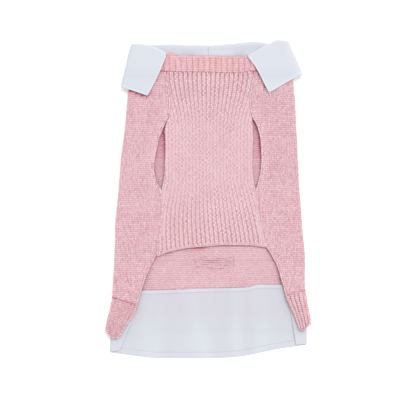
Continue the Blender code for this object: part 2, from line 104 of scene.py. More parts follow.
class OutlineRow(NamedTuple):
    """Side folds, wraps' edges and leg slits at one Y, seen from above."""

    y: float
    left_edge: float
    left_fold: float
    right_fold: float
    right_edge: float
    left_slit: float
    right_slit: float


OUTLINE_ROWS = (
    OutlineRow(168.0, -47.0, -83.3, 90.0, 50.0, 0.0, 0.0),
    OutlineRow(139.0, -45.8, -84.9, 92.7, 49.5, 0.0, 0.0),
    OutlineRow(119.0, -42.4, -87.7, 94.7, 45.8, 0.0, 0.0),
    OutlineRow(105.0, -41.1, -89.1, 96.0, 45.1, 0.0, 0.0),
    OutlineRow(91.0, -43.2, -90.4, 96.6, 47.9, 0.0, 0.0),
    OutlineRow(80.0, -48.2, -91.5, 97.0, 53.5, 0.8, 4.5),
    OutlineRow(64.0, -54.3, -93.5, 98.2, 57.0, 6.9, 7.6),
    OutlineRow(45.0, -57.8, -95.9, 98.8, 58.1, 10.2, 9.1),
    OutlineRow(33.0, -59.0, -97.0, 99.7, 57.3, 10.9, 8.3),
    OutlineRow(20.0, -56.6, -98.0, 100.1, 54.7, 7.2, 4.5),
    OutlineRow(10.0, -51.5, -98.6, 100.8, 52.7, 0.5, 0.4),
    OutlineRow(-8.0, -49.5, -100.5, 102.1, 53.5, 0.0, 0.0),
    OutlineRow(-30.0, -50.8, -102.4, 103.7, 57.2, 0.0, 0.0),
    OutlineRow(-50.0, -54.7, -102.6, 105.6, 62.4, 0.0, 0.0),
    OutlineRow(-60.0, -56.4, -103.1, 106.5, 68.5, 0.0, 0.0),
    OutlineRow(-73.0, -62.6, -103.6, 106.7, 75.2, 0.0, 0.0),
    OutlineRow(-90.0, -69.6, -104.5, 106.5, 80.4, 0.0, 0.0),
    OutlineRow(-108.0, -75.3, -105.8, 108.4, 85.4, 0.0, 0.0),
    OutlineRow(-124.0, -79.9, -109.1, 111.4, 92.4, 0.0, 0.0),
    OutlineRow(-134.0, -86.1, -111.6, 113.2, 96.4, 0.0, 0.0),
    OutlineRow(-146.0, -94.2, -113.5, 113.5, 100.9, 0.0, 0.0),
    OutlineRow(-153.0, -98.8, -113.5, 113.5, 103.5, 0.0, 0.0),
)


class HeightRow(NamedTuple):
    """Undersides of the two layers at one Y; the top one keeps its fold height over hold, then falls."""

    y: float
    floor: float
    fold: float
    middle: float
    hold: float
    fall: float


HEIGHT_ROWS = (
    HeightRow(175.0, 1.4, 7.0, 5.6, 46.0, 20.0),
    HeightRow(145.0, 1.4, 7.0, 5.6, 46.0, 20.0),
    HeightRow(139.0, 1.4, 6.6, 5.2, 44.0, 20.0),
    HeightRow(119.0, 1.4, 4.9, 4.3, 20.0, 20.0),
    HeightRow(104.0, 0.0, 3.8, 3.2, 0.0, 14.0),
    HeightRow(80.0, 0.0, 3.4, 2.8, 0.0, 14.0),
    HeightRow(-70.0, 0.0, 3.4, 2.8, 0.0, 14.0),
    HeightRow(-92.0, 0.0, 5.8, 5.8, 20.0, 20.0),
    HeightRow(-143.0, 0.0, 5.8, 5.5, 0.0, 14.0),
    HeightRow(-153.0, 0.0, 5.0, 3.9, 0.0, 14.0),
)


class NeckRow(NamedTuple):
    """The neck seam and the neck band's top edge at one place."""

    place: float
    seam: float
    top: float


NECK_ROWS = (
    NeckRow(-4.00, 139.2, 157.4),
    NeckRow(-3.24, 139.6, 157.4),
    NeckRow(-3.13, 139.9, 161.2),
    NeckRow(-3.07, 140.1, 160.4),
    NeckRow(-3.00, 140.4, 157.2),
    NeckRow(-1.50, 143.0, 161.0),
    NeckRow(0.00, 145.6, 164.5),
    NeckRow(1.50, 143.0, 161.5),
    NeckRow(3.00, 140.8, 156.4),
    NeckRow(3.12, 139.7, 156.5),
    NeckRow(3.36, 138.4, 156.8),
    NeckRow(3.60, 138.4, 157.0),
    NeckRow(4.00, 139.2, 157.4),
)


class HemRow(NamedTuple):
    """The hem band's seam and its lower edge at one place."""

    place: float
    seam: float
    hem: float


HEM_ROWS = (
    HemRow(-3.0, -117.2, -152.7),
    HemRow(-2.5, -112.6, -152.6),
    HemRow(-2.1, -109.5, -150.4),
    HemRow(-1.5, -107.5, -143.0),
    HemRow(-1.0, -106.6, -139.5),
    HemRow(0.0, -99.7, -132.7),
    HemRow(1.0, -99.9, -134.5),
    HemRow(1.5, -100.2, -137.0),
    HemRow(2.1, -101.2, -139.6),
    HemRow(2.6, -104.0, -144.2),
    HemRow(3.0, -106.6, -141.6),
)


class BellyHemRow(NamedTuple):
    """The belly panel's lower edge at one X."""

    x: float
    y: float


BELLY_HEM_ROWS = (
    BellyHemRow(-57.0, -63.4),
    BellyHemRow(-44.3, -58.5),
    BellyHemRow(-24.8, -54.1),
    BellyHemRow(-5.1, -52.1),
    BellyHemRow(20.5, -50.4),
    BellyHemRow(47.0, -50.8),
    BellyHemRow(66.0, -53.6),
)


class RibRow(NamedTuple):
    """The belly panel's rib at one Y: X of its middle groove, its pitch and what is left of its relief."""

    y: float
    middle: float
    pitch: float
    relief: float


BELLY_RIB_ROWS = (
    RibRow(132.0, -2.3, 5.05, 1.0),
    RibRow(121.0, -2.3, 4.80, 1.0),
    RibRow(110.0, -2.3, 4.50, 0.85),
    RibRow(99.0, -2.3, 4.15, 0.75),
    RibRow(88.0, -2.3, 3.88, 0.6),
    RibRow(77.0, -2.3, 3.75, 0.5),
    RibRow(55.0, -2.3, 3.75, 0.35),
    RibRow(22.0, -2.1, 3.75, 0.45),
    RibRow(11.0, -1.6, 3.95, 0.5),
    RibRow(0.0, -1.3, 4.20, 0.65),
    RibRow(-22.0, -0.2, 4.60, 0.9),
    RibRow(-44.0, 1.9, 4.80, 1.0),
    RibRow(-63.0, 3.6, 4.85, 1.0),
)


class TailRow(NamedTuple):
    """The shirt tail's side folds and turned-in edges at one Y."""

    y: float
    left_edge: float
    left_fold: float
    right_fold: float
    right_edge: float


TAIL_ROWS = (
    TailRow(-94.0, -75.1, -101.5, 102.5, 83.4),
    TailRow(-108.0, -76.2, -102.8, 104.2, 86.0),
    TailRow(-124.0, -80.1, -105.5, 106.0, 90.6),
    TailRow(-131.0, -82.4, -106.6, 107.2, 91.7),
    TailRow(-141.0, -86.6, -108.0, 108.5, 93.4),
    TailRow(-160.0, -94.7, -108.0, 108.6, 96.4),
    TailRow(-168.0, -98.1, -108.0, 108.6, 97.5),
)


class TailLineRow(NamedTuple):
    """The shirt tail's upper and lower edges at one place."""

    place: float
    top: float
    bottom: float


TAIL_LINE_ROWS = (
    TailLineRow(-3.00, -99.7, -166.3),
    TailLineRow(-1.50, -99.7, -167.6),
    TailLineRow(-1.00, -99.9, -168.4),
    TailLineRow(-0.72, -100.3, -172.3),
    TailLineRow(-0.52, -99.8, -174.5),
    TailLineRow(0.00, -97.8, -174.6),
    TailLineRow(0.28, -97.3, -173.2),
    TailLineRow(0.43, -96.4, -170.8),
    TailLineRow(0.53, -93.9, -168.6),
    TailLineRow(0.75, -93.8, -163.8),
    TailLineRow(1.00, -94.2, -160.0),
    TailLineRow(1.50, -94.2, -159.2),
    TailLineRow(3.00, -94.0, -159.8),
)


class CollarRow(NamedTuple):
    """A collar half's rolled top line, its fall's edge and its stand's depth at one place."""

    place: float
    roll: float
    fall: float
    stand: float


LEFT_COLLAR_ROWS = (
    CollarRow(0.00, 169.4, 122.0, 17.0),
    CollarRow(0.25, 169.7, 122.0, 17.0),
    CollarRow(0.50, 170.4, 122.0, 17.0),
    CollarRow(0.90, 169.8, 122.4, 17.0),
    CollarRow(1.50, 170.7, 122.6, 17.0),
    CollarRow(2.20, 170.2, 120.4, 16.0),
    CollarRow(2.60, 167.2, 117.0, 13.0),
    CollarRow(3.00, 160.2, 113.4, 10.0),
)
RIGHT_COLLAR_ROWS = (
    CollarRow(0.00, 168.9, 122.0, 17.0),
    CollarRow(0.30, 171.1, 122.0, 17.0),
    CollarRow(0.62, 173.3, 124.0, 17.0),
    CollarRow(0.80, 171.2, 127.0, 17.0),
    CollarRow(1.50, 173.4, 136.4, 17.0),
    CollarRow(2.20, 174.6, 132.0, 17.0),
    CollarRow(2.45, 170.2, 127.4, 15.0),
    CollarRow(2.70, 165.2, 122.4, 12.0),
    CollarRow(3.00, 158.2, 116.6, 10.0),
)


# --- Reading the lines --------------------------------------------------------------------------


def smooth(share: Array) -> Array:
    """Turns 0 to 1 into 0 to 1 with level ends, and clips what is outside."""
    share = np.clip(share, 0.0, 1.0)
    return share * share * (3 - 2 * share)


def bell(offset: Array, width: Array | float = 1.0) -> Array:
    """A bell curve, which is 1 at no offset and about a third at the width."""
    return np.exp(-((offset / width) ** 2))


def travel(place: Array | float) -> Array:
    """Nominal distance round the tube from the back's centre, signed like the place."""
    return np.sign(place) * np.interp(np.abs(place), range(len(PLACE_MM)), PLACE_MM)


def place_at(distance: Array) -> Array:
    """The place at a nominal distance round the tube."""
    return np.sign(distance) * np.interp(np.abs(distance), PLACE_MM, range(len(PLACE_MM)))


class Curve:
    """A monotone cubic through values at stations."""

    def __init__(self, stations: Sequence[float], values: Sequence[float]) -> None:
        """Works out the slopes at the stations.

        Args:
            stations: Where the values are, in any order.
            values: The values there.
        """
        order = np.argsort(stations)
        self.at = np.asarray(stations, float)[order]
        self.value = np.asarray(values, float)[order]
        self.step = np.diff(self.at)
        slope = np.diff(self.value) / self.step
        self.tangent = np.concatenate([slope[:1], np.zeros(len(slope) - 1), slope[-1:]])
        turning = slope[:-1] * slope[1:] <= 0
        weighted = slope[:-1] * slope[1:] / np.where(turning, 1.0, slope[:-1] + slope[1:])
        self.tangent[1:-1] = np.where(turning, 0.0, 2 * weighted)

    def __call__(self, where: Array) -> Array:
        """Reads the curve; outside its stations it keeps its end values.

        Args:
            where: Stations to read at.

        Returns:
            The values there.
        """
        where = np.clip(where, self.at[0], self.at[-1])
        i = np.clip(np.searchsorted(self.at, where) - 1, 0, len(self.step) - 1)
        t = (where - self.at[i]) / self.step[i]
        rise = t * t * (3 - 2 * t)
        bend = self.step[i] * t * (1 - t) * ((1 - t) * self.tangent[i] - t * self.tangent[i + 1])
        return self.value[i] + rise * (self.value[i + 1] - self.value[i]) + bend


class Table:
    """One curve for each named column of some rows, read by the rows' first column."""

    def __init__(self, rows: Sequence[NamedTuple], station: Callable[[float], float] = float) -> None:
        """Makes the curves.

        Args:
            rows: The rows, all of one kind.
            station: Turns a value of the first column into a station.
        """
        key, *names = rows[0]._fields
        stations = [float(station(getattr(row, key))) for row in rows]
        self.curves = {name: Curve(stations, [getattr(row, name) for row in rows]) for name in names}

    def __getattr__(self, name: str) -> Curve:
        """The curve of a column, by its name."""
        return self.curves[name]


class Crease(NamedTuple):
    """A soft ridge along a line seen from above, or a trough where height is negative."""

    x0: float
    y0: float
    x1: float
    y1: float
    width: float
    height: float


class Line(NamedTuple):
    """A straight line seen from above."""

    x0: float
    y0: float
    x1: float
    y1: float
    weight: float = 1.0


# Edges of the collar's wings, beside which the knit lies in their shade.
WING_EDGES = (
    Line(-45.4, 161.2, -52.1, 140.4, 0.5),
    Line(-52.1, 140.4, -67.2, 113.8, 0.4),
    Line(-67.2, 113.8, -92.0, 120.9, 1.1),
    Line(42.6, 159.2, 48.9, 151.6, 0.8),
    Line(48.9, 151.6, 52.8, 143.6, 1.2),
    Line(52.8, 143.6, 64.1, 122.4, 1.2),
    Line(64.1, 122.4, 94.0, 138.0, 1.0),
)


# How far the wings' shade reaches, and what is left of a crease's height at its ends.
WING_SHADE_MM = 1.7
CREASE_ENDS = 0.35


def nearest(line: Crease | Line, x: Array, y: Array) -> tuple[Array, Array]:
    """Finds the nearest point of a straight line.

    Args:
        line: The line, seen from above.
        x: Where to read, across.
        y: Where to read, along.

    Returns:
        The share of the line's run at its nearest point, and the distance to that point.
    """
    run_x, run_y = line.x1 - line.x0, line.y1 - line.y0
    share = np.clip(((x - line.x0) * run_x + (y - line.y0) * run_y) / (run_x**2 + run_y**2), 0.0, 1.0)
    return share, np.hypot(x - line.x0 - share * run_x, y - line.y0 - share * run_y)


def beside_collar(point: Array) -> Array:
    """How near points are to the collar's edges, seen from above, for the collar's painted shadow on the
    knit.

    Args:
        point: The points.

    Returns:
        A share that is about 1 at the edges.
    """
    near = np.zeros(point.shape[:-1])
    for line in WING_EDGES:
        _, off = nearest(line, point[..., 0], point[..., 1])
        near = np.maximum(near, line.weight * bell(off, WING_SHADE_MM))
    return near


def creased(creases: Sequence[Crease], x: Array, y: Array) -> Array:
    """Height that some creases add, fading out towards their ends.

    Args:
        creases: The ridges and troughs.
        x: Where to read, across.
        y: Where to read, along.

    Returns:
        The height there.
    """
    total = np.zeros(np.broadcast(x, y).shape)
    for crease in creases:
        share, away = nearest(crease, x, y)
        fade = CREASE_ENDS + (1 - CREASE_ENDS) * (1 - (2 * share - 1) ** 4)
        total += crease.height * fade * bell(away, crease.width)
    return total


def facing_up(x: Array, y: Array, z: Array) -> tuple[Array, Array]:
    """Points of a surface that lies level, with their normals."""
    point = np.stack([x, y, z], -1)
    return point, np.broadcast_to(np.array([0.0, 0.0, 1.0]), point.shape)


# --- Where the layers lie -----------------------------------------------------------------------

KNIT_CREASES = (
    Crease(-92.0, 70.0, -62.0, 84.0, 7.0, 0.35),
    Crease(-97.0, 18.0, -66.0, 6.0, 8.0, 0.30),
    Crease(-99.0, -42.0, -60.0, -38.0, 9.0, 0.25),
    Crease(-101.0, -86.0, -76.0, -78.0, 6.0, 0.40),
    Crease(-100.0, -101.0, -80.0, -99.0, 5.0, -0.30),
    Crease(96.0, 84.0, 66.0, 74.0, 8.0, 0.30),
    Crease(100.0, 30.0, 70.0, 38.0, 9.0, 0.25),
    Crease(102.0, -25.0, 66.0, -18.0, 8.0, 0.30),
    Crease(105.0, -80.0, 86.0, -70.0, 7.0, 0.35),
    Crease(-20.0, 96.0, 22.0, 90.0, 10.0, 0.25),
    Crease(-30.0, 22.0, 10.0, 30.0, 12.0, 0.25),
    Crease(12.0, -14.0, 48.0, -22.0, 9.0, 0.25),
    Crease(-51.0, 78.0, -50.0, 24.0, 6.0, 0.70),
    Crease(54.0, 88.0, 57.0, 62.0, 6.0, 0.9),
)

# Where the inside's rows are drawn tight by the label's stitching.
LABEL_PULLS = (
    Line(-14.1, -65.6, -14.1, -70.4),
    Line(28.0, -62.8, 28.0, -73.3),
    Line(-9.0, -63.7, -0.8, -63.9),
    Line(9.7, -64.6, 17.2, -64.9),
    Line(17.8, -65.1, 26.6, -64.1),
    Line(-10.2, -66.1, -0.8, -67.1),
    Line(-0.8, -67.1, 15.0, -67.1),
    Line(17.8, -68.1, 26.0, -68.4),
    Line(-5.9, -68.7, 7.0, -69.6),
    Line(8.7, -70.2, 26.0, -70.5),
    Line(-6.7, -71.4, -0.3, -71.4),
    Line(7.4, -72.8, 26.0, -72.8),
    Line(-13.8, -72.5, -9.5, -74.6),
    Line(-8.1, -73.2, -5.0, -75.0),
    Line(-1.4, -75.4, 17.2, -75.8),
)


class Lay:
    """Where the knitted tube's layers lie; the pieces read their points from here."""

    outline = Table(OUTLINE_ROWS)
    heights = Table(HEIGHT_ROWS)
    neck = Table(NECK_ROWS, travel)
    hem = Table(HEM_ROWS, travel)
    belly_hem = Table(BELLY_HEM_ROWS)
    ribs = Table(BELLY_RIB_ROWS)
    crease_margin = 6.0  # the creases fade out over this much beside the side folds

    def fold_radius(self, y: Array) -> Array:
        """Inner radius of the knit's side folds."""
        return (self.heights.fold(y) - self.heights.floor(y) - CLOTH.knit) / 2

    def underside(self, x: Array, y: Array) -> Array:
        """Height of the top layer's inner side.

        Args:
            x: Where to read, across.
            y: Where to read, along.

        Returns:
            The height there.
        """
        radius = self.fold_radius(y)
        from_left = x - (self.outline.left_fold(y) + CLOTH.knit + radius)
        from_right = (self.outline.right_fold(y) - CLOTH.knit - radius) - x
        inwards = np.minimum(from_left, from_right)
        lowered = smooth((inwards - self.heights.hold(y)) / self.heights.fall(y))
        fold, middle = self.heights.fold(y), self.heights.middle(y)
        creases = creased(KNIT_CREASES, x, y) * smooth(inwards / self.crease_margin)
        return fold + (middle - fold) * lowered + creases

    def ring(self, place: Array, y: Array, centre_x: Array, fold_x: Array, edge_x: Array,
             front_x: Array, low: Array, high: Array, over: Surface) -> tuple[Array, Array]:
        """One surface round a flattened tube.

        Args:
            place: Places to read at.
            y: Y there.
            centre_x: X of the lower layer's centre.
            fold_x: X of the fold's outermost point.
            edge_x: X of the upper layer's edge.
            front_x: X of the upper layer's centre.
            low: Height of the lower layer.
            high: Height of the fold's upper end.
            over: Height of the upper layer, at x and y.

        Returns:
            The points and their outward normals.
        """
        side = np.where(place < 0, -1.0, 1.0)
        stretch = np.minimum(np.abs(place).astype(int), 3)
        run = np.abs(place) - stretch
        radius, middle = (high - low) / 2, (high + low) / 2
        fold_centre = fold_x - side * radius
        sine, cosine = np.sin(np.pi * run), np.cos(np.pi * run)
        x = np.choose(stretch, [
            centre_x + (fold_centre - centre_x) * run,
            fold_centre + side * radius * sine,
            fold_centre + (edge_x - fold_centre) * run,
            edge_x + (front_x - edge_x) * run,
        ])
        top = over(x, y)
        z = np.choose(stretch, [low + 0 * run, middle - radius * cosine, top, top])
        normal_x = np.choose(stretch, [0 * run, side * sine, 0 * run, 0 * run])
        normal_z = np.choose(stretch, [-1 + 0 * run, -cosine, 1 + 0 * run, 1 + 0 * run])
        return np.stack([x, y, z], -1), np.stack([normal_x, 0 * run, normal_z], -1)

    def knit_ring(self, place: Array, y: Array) -> tuple[Array, Array]:
        """Inner surface of the knitted tube.

        Args:
            place: Places to read at.
            y: Y there.

        Returns:
            The points and their outward normals.
        """
        line, left = self.outline, place < 0
        return self.ring(
            place, y,
            centre_x=(line.left_fold(y) + line.right_fold(y)) / 2,
            fold_x=np.where(left, line.left_fold(y) + CLOTH.knit, line.right_fold(y) - CLOTH.knit),
            edge_x=np.where(left, line.left_edge(y), line.right_edge(y)),
            front_x=(line.left_edge(y) + line.right_edge(y)) / 2,
            low=self.heights.floor(y) + CLOTH.knit, high=self.heights.fold(y), over=self.underside,
        )

    def spans(self, side: Side, y: Array) -> tuple[Array, Array, Array]:
        """Lengths on the outer skin.

        Args:
            side: The side fold that they start from.
            y: Y to read at.

        Returns:
            The lengths round the fold, across its wrap and on to the front's centre.
        """
        line = self.outline
        left = side is Side.LEFT
        radius = self.fold_radius(y)
        fold = line.left_fold(y) if left else line.right_fold(y)
        centre = fold - side.value * (CLOTH.knit + radius)
        edge = line.left_edge(y) if left else line.right_edge(y)
        front = (line.left_edge(y) + line.right_edge(y)) / 2
        return np.pi * (radius + CLOTH.knit), np.abs(edge - centre), np.abs(front - edge)

    def place_on_skin(self, side: Side, distance: Array, y: Array) -> Array:
        """Turns distances along the outer skin into places.

        Args:
            side: The side fold whose lowest line they are measured from.
            distance: The distances.
            y: Y there.

        Returns:
            The places.
        """
        arc, wrap, front = self.spans(side, y)
        place = np.where(
            distance < arc, FOLD_LOW + distance / arc,
            np.where(distance < arc + wrap, FOLD_HIGH + (distance - arc) / wrap,
                     EDGE + (distance - arc - wrap) / front))
        return side.value * place

    def distance_on_skin(self, side: Side, place: Array, y: Array) -> Array:
        """Turns places into distances along the outer skin.

        Args:
            side: The side fold whose lowest line they are measured from.
            place: The places.
            y: Y there.

        Returns:
            The distances.
        """
        arc, wrap, front = self.spans(side, y)
        at = np.abs(place)
        on_front = arc + wrap + (at - EDGE) * front
        on_wrap = arc + (at - FOLD_HIGH) * wrap
        return np.where(at < FOLD_HIGH, (at - FOLD_LOW) * arc, np.where(at < EDGE, on_wrap, on_front))

    def skin(self, side: Side) -> Surface:
        """The knit's outer surface, by distance from a side fold's lowest line and by Y.

        Args:
            side: Which side fold.

        Returns:
            What gives the surface's points and normals.
        """

        def surface(distance: Array, y: Array) -> tuple[Array, Array]:
            """Points and normals of the outer surface."""
            point, normal = self.knit_ring(self.place_on_skin(side, distance, y), y)
            return point + normal * CLOTH.knit, normal

        return surface

    def top(self, x: Array, y: Array) -> tuple[Array, Array]:
        """The top layer's upper surface, by x and y."""
        return facing_up(x, y, self.underside(x, y) + CLOTH.knit)

    def inside(self, x: Array, y: Array) -> tuple[Array, Array]:
        """The inner side of the back, which faces up between the wraps, by x and y."""
        return facing_up(x, y, self.heights.floor(y) + CLOTH.knit)

    def belly_sides(self, y: Array) -> tuple[Array, Array]:
        """X of the belly panel's two side edges."""
        line, gap = self.outline, CLOTH.seam_gap
        return line.left_edge(y) + line.left_slit(y) + gap, line.right_edge(y) - line.right_slit(y) - gap

    def front_seam(self, x: Array, y: Array) -> Array:
        """Y of the neck seam on the belly side.

        Args:
            x: Where to read, across.
            y: Y whose wrap edges bound the belly side.

        Returns:
            The seam's Y.
        """
        left, right = self.outline.left_edge(y), self.outline.right_edge(y)
        share = (x - left) / (right - left)
        place = np.where(share < 0.5, -EDGE - 2 * share, EDGE + 2 * (1 - share))
        return self.neck.seam(travel(place))


# --- Meshes -------------------------------------------------------------------------------------


def add_mesh(name: str, points: Array, faces: Sequence[Array], values: dict[str, Array],
             material: bpy.types.Material) -> bpy.types.Object:
    """Adds a smooth mesh that rides on the garment's body.

    Args:
        name: The piece's name.
        points: Its points in millimetres.
        faces: Arrays of point numbers, one array for each number of corners.
        values: Numbers on the points, by attribute name.
        material: What it is made of.

    Returns:
        The new object.
    """
    data = bpy.data.meshes.new(name)
    corners = np.concatenate([face.ravel() for face in faces])
    counts = np.concatenate([np.full(len(face), face.shape[1]) for face in faces])
    data.vertices.add(len(points))
    data.vertices.foreach_set("co", (points * MILLIMETRE).ravel())
    data.loops.add(len(corners))
    data.loops.foreach_set("vertex_index", corners.astype(np.int32))
    data.polygons.add(len(counts))
    data.polygons.foreach_set("loop_start", (np.cumsum(counts) - counts).astype(np.int32))
    for key, numbers in values.items():
        data.attributes.new(key, "FLOAT", "POINT").data.foreach_set("value", numbers.ravel())
    data.update(calc_edges=True)
    data.validate()
    data.shade_smooth()
    data.materials.append(material)
    made = bpy.data.objects.new(name, data)
    bpy.context.scene.collection.objects.link(made)
    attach(made, BODY)
    return made


@dataclass
class Shell:
    """A thin closed shell of cloth over a grid of points, with rounded rims.

    low and high are the distances of its two faces from the grid, along the normals.
    """

    name: str
    point: Array
    normal: Array
    low: Array | float
    high: Array | float
    rim: float
    closed: bool = False
    rim_depth: float = 1.5  # how much painted shade the knit gets towards its open edges
    blunt: float = 0.06  # the share of its thickness that a rim keeps
    values: dict[str, Array] = field(default_factory=dict)

    def from_ends(self, axis: int) -> Array:
        """Distance over the grid from its nearer end.

        Args:
            axis: 0 for the first and last rows, 1 for the first and last columns.

        Returns:
            The distance at each point.
        """
        step = np.linalg.norm(np.diff(self.point, axis=axis), axis=-1)
        run = np.insert(np.cumsum(step, axis=axis), 0, 0.0, axis=axis)
        return np.minimum(run, np.take(run, [-1], axis=axis) - run)

    def rounding(self) -> Array:
        """Rounds the shell off near its open edges.

        Returns:
            What is left of half the thickness, as a share.
        """
        away = self.from_ends(0)
        if not self.closed:
            away = np.minimum(away, self.from_ends(1))
        short = 1 - np.clip(away / self.rim, 0.0, 1.0)
        return np.maximum(np.sqrt(1 - short**2), self.blunt)

    def build(self, material: bpy.types.Material, slot: Slot) -> bpy.types.Object:
        """Makes the shell.

        Args:
            material: What it is made of.
            slot: The record's material slot; not used.

        Returns:
            The new object.
        """
        rows, columns = self.point.shape[:2]
        half = ((self.high - self.low) / 2 * self.rounding())[..., None]
        middle = self.point + self.normal * np.broadcast_to(
            np.asarray((self.high + self.low) / 2), (rows, columns))[..., None]
        face, back = middle + self.normal * half, middle - self.normal * half
        number = np.arange(rows * columns).reshape(rows, columns)
        beside = np.roll(number, -1, axis=1)
        if not self.closed:
            number, beside = number[:, :-1], beside[:, :-1]
        over, over_beside = number[:-1], beside[:-1]
        under, under_beside = number[1:], beside[1:]
        other = rows * columns
        quads = [
            np.stack([over, over_beside, under_beside, under], -1).reshape(-1, 4),
            np.stack([over, under, under_beside, over_beside], -1).reshape(-1, 4) + other,
            np.stack([number[0], number[0] + other, beside[0] + other, beside[0]], -1),
            np.stack([number[-1], beside[-1], beside[-1] + other, number[-1] + other], -1),
        ]
        if not self.closed:
            first = np.arange(rows - 1) * columns
            last = first + columns - 1
            quads.append(np.stack([first, first + columns, first + columns + other, first + other], -1))
            quads.append(np.stack([last, last + other, last + columns + other, last + columns], -1))
        values = {key: np.tile(number_on.ravel(), 2) for key, number_on in self.values.items()}
        if "shade" in values:
            values["shade"] -= self.rim_depth * np.tile(1 - self.rounding().ravel(), 2)
        points = np.concatenate([face.reshape(-1, 3), back.reshape(-1, 3)])
        made = add_mesh(self.name, points, [np.concatenate(quads)], values, material)
        mesh = bmesh.new()
        mesh.from_mesh(made.data)
        bmesh.ops.recalc_face_normals(mesh, faces=mesh.faces)
        mesh.to_mesh(made.data)
        mesh.free()
        return made


# A strand's rings along its length, with their shares of its half width and height, and the
# corners of each ring, across and up.
STRAND_RINGS = ((-0.6, 0.84, 0.8), (0.0, 1.0, 1.0), (0.6, 0.84, 0.8))
STRAND_CORNERS = ((-1.0, 0.0), (0.0, 1.0), (1.0, 0.0), (0.0, -0.6))
STRAND_TIP = -0.15


@dataclass(frozen=True)
class Unevenness:
    """How much strands stray from their rule, as shares of their size; the level is in millimetres."""

    place: float = 0.045
    reach: float = 0.05
    width: float = 0.07
    level: float = 0.05


UNEVENNESS = Unevenness()


class Strands:
    """Short spindle-shaped strands that lie on a surface, gathered and made as one mesh."""

    def __init__(self, seed: int, shade: float, tips: float = 0.45) -> None:
        """Starts without a strand.

        Args:
            seed: For the strands' small differences.
            shade: How much they differ in lightness.
            tips: How much painted shade each one gets towards its tips, where it dives under its neighbours.
        """
        self.random = np.random.default_rng(seed)
        self.shade = shade
        self.tips = tips
        self.gathered: list[Array] = []

    def add(self, u: Array, v: Array, half_u: Array | float, half_v: Array | float, width: Array | float,
            level: Array | float, height: Array | float, shade: Array | float = 0.0) -> None:
        """Adds strands.

        Args:
            u: Middles across the surface.
            v: Middles along the surface.
            half_u: Half of each strand's reach across.
            half_v: Half of each strand's reach along.
            width: Half widths.
            level: Heights of the strands' axes above the surface.
            height: Heights of their tops above their axes.
            shade: Lightness added to each.
        """
        parts = np.broadcast_arrays(u, v, half_u, half_v, width, level, height, shade)
        table = np.stack([np.asarray(part, float).ravel() for part in parts], -1)
        wander = self.random.normal(0.0, 1.0, table.shape)
        size = np.hypot(table[:, 2], table[:, 3])
        table[:, 0] += UNEVENNESS.place * size * wander[:, 0]
        table[:, 1] += UNEVENNESS.place * size * wander[:, 1]
        table[:, 2] += UNEVENNESS.reach * size * wander[:, 2]
        table[:, 4] *= 1 + UNEVENNESS.width * wander[:, 4]
        table[:, 5] += UNEVENNESS.level * wander[:, 5]
        table[:, 7] += self.shade * wander[:, 7]
        self.gathered.append(table)

    def build(self, name: str, surface: Surface, material: bpy.types.Material, slot: Slot,
              mirrored: bool = False) -> bpy.types.Object:
        """Makes all strands as one mesh.

        Args:
            name: The piece's name.
            surface: What they lie on, by u and v.
            material: What they are made of.
            slot: The record's material slot; not used.
            mirrored: Whether u, v and the normal are left-handed.

        Returns:
            The new object.
        """
        table = np.concatenate(self.gathered)
        u, v, half_u, half_v, width, level, height, shade = table.T[:, :, None]
        size = np.hypot(half_u, half_v)
        along, across, up = [], [], []
        for ring, wide, high in STRAND_RINGS:
            for corner, top in STRAND_CORNERS:
                along.append(ring)
                across.append(corner * wide)
                up.append(top * high)
        along, across, up = along + [-1.0, 1.0], across + [0.0, 0.0], up + [STRAND_TIP] * 2
        along, across, up = np.array(along), np.array(across), np.array(up)
        at_u = u + along * half_u + across * width * half_v / size
        at_v = v + along * half_v - across * width * half_u / size
        point, normal = surface(at_u, at_v)
        point = point + normal * (level + up * height)[..., None]
        corners = len(STRAND_CORNERS)
        turn = np.arange(corners)
        beside = (turn + 1) % corners
        bands = np.concatenate([
            np.stack([turn, beside, beside + corners, turn + corners], -1) + corners * band
            for band in range(len(STRAND_RINGS) - 1)])
        last = corners * (len(STRAND_RINGS) - 1)
        tip = corners * len(STRAND_RINGS)
        tips = np.concatenate([
            np.stack([beside, turn, np.full(corners, tip)], -1),
            np.stack([turn + last, beside + last, np.full(corners, tip + 1)], -1)])
        if mirrored:
            bands, tips = bands[:, ::-1], tips[:, ::-1]
        start = (np.arange(len(table)) * len(along))[:, None, None]
        # Painted light and shade on each strand: its top is lighter, its flanks deeper, and it gets deeper
        # towards its tips.
        lit = shade + 0.6 * up - self.tips * along**2 - 0.1
        return add_mesh(
            name, point.reshape(-1, 3),
            [(bands[None] + start).reshape(-1, 4), (tips[None] + start).reshape(-1, 3)],
            {"shade": np.broadcast_to(lit, at_u.shape)}, material)


# --- Finishes -----------------------------------------------------------------------------------


def linear(colour: str) -> tuple[float, float, float, float]:
    """Turns an sRGB hex colour into linear shares of light, with full alpha."""
    shares = (int(colour[i:i + 2], 16) / 255 for i in (0, 2, 4))
    return (*(s / 12.92 if s <= 0.04045 else ((s + 0.055) / 1.055) ** 2.4 for s in shares), 1.0)


# Where most of a noise texture's values lie.
NOISE_RANGE = {"From Min": 0.3, "From Max": 0.7}


def new_material(name: str) -> tuple[bpy.types.Material, bpy.types.NodeTree, bpy.types.Node]:
    """Adds a material.

    Args:
        name: Its name.

    Returns:
        The material, its node tree and its shader.
    """
    made = bpy.data.materials.new(name)
    made.use_nodes = True
    return made, made.node_tree, made.node_tree.nodes["Principled BSDF"]


def feed(node: bpy.types.Node, inputs: dict[int | str, object]) -> None:
    """Sets or links a node's inputs.

    Args:
        node: The node.
        inputs: A value for an input, or the output that it is linked from, by name or number.
    """
    for key, value in inputs.items():
        if isinstance(value, bpy.types.NodeSocket):
            node.id_data.links.new(value, node.inputs[key])
        else:
            node.inputs[key].default_value = value


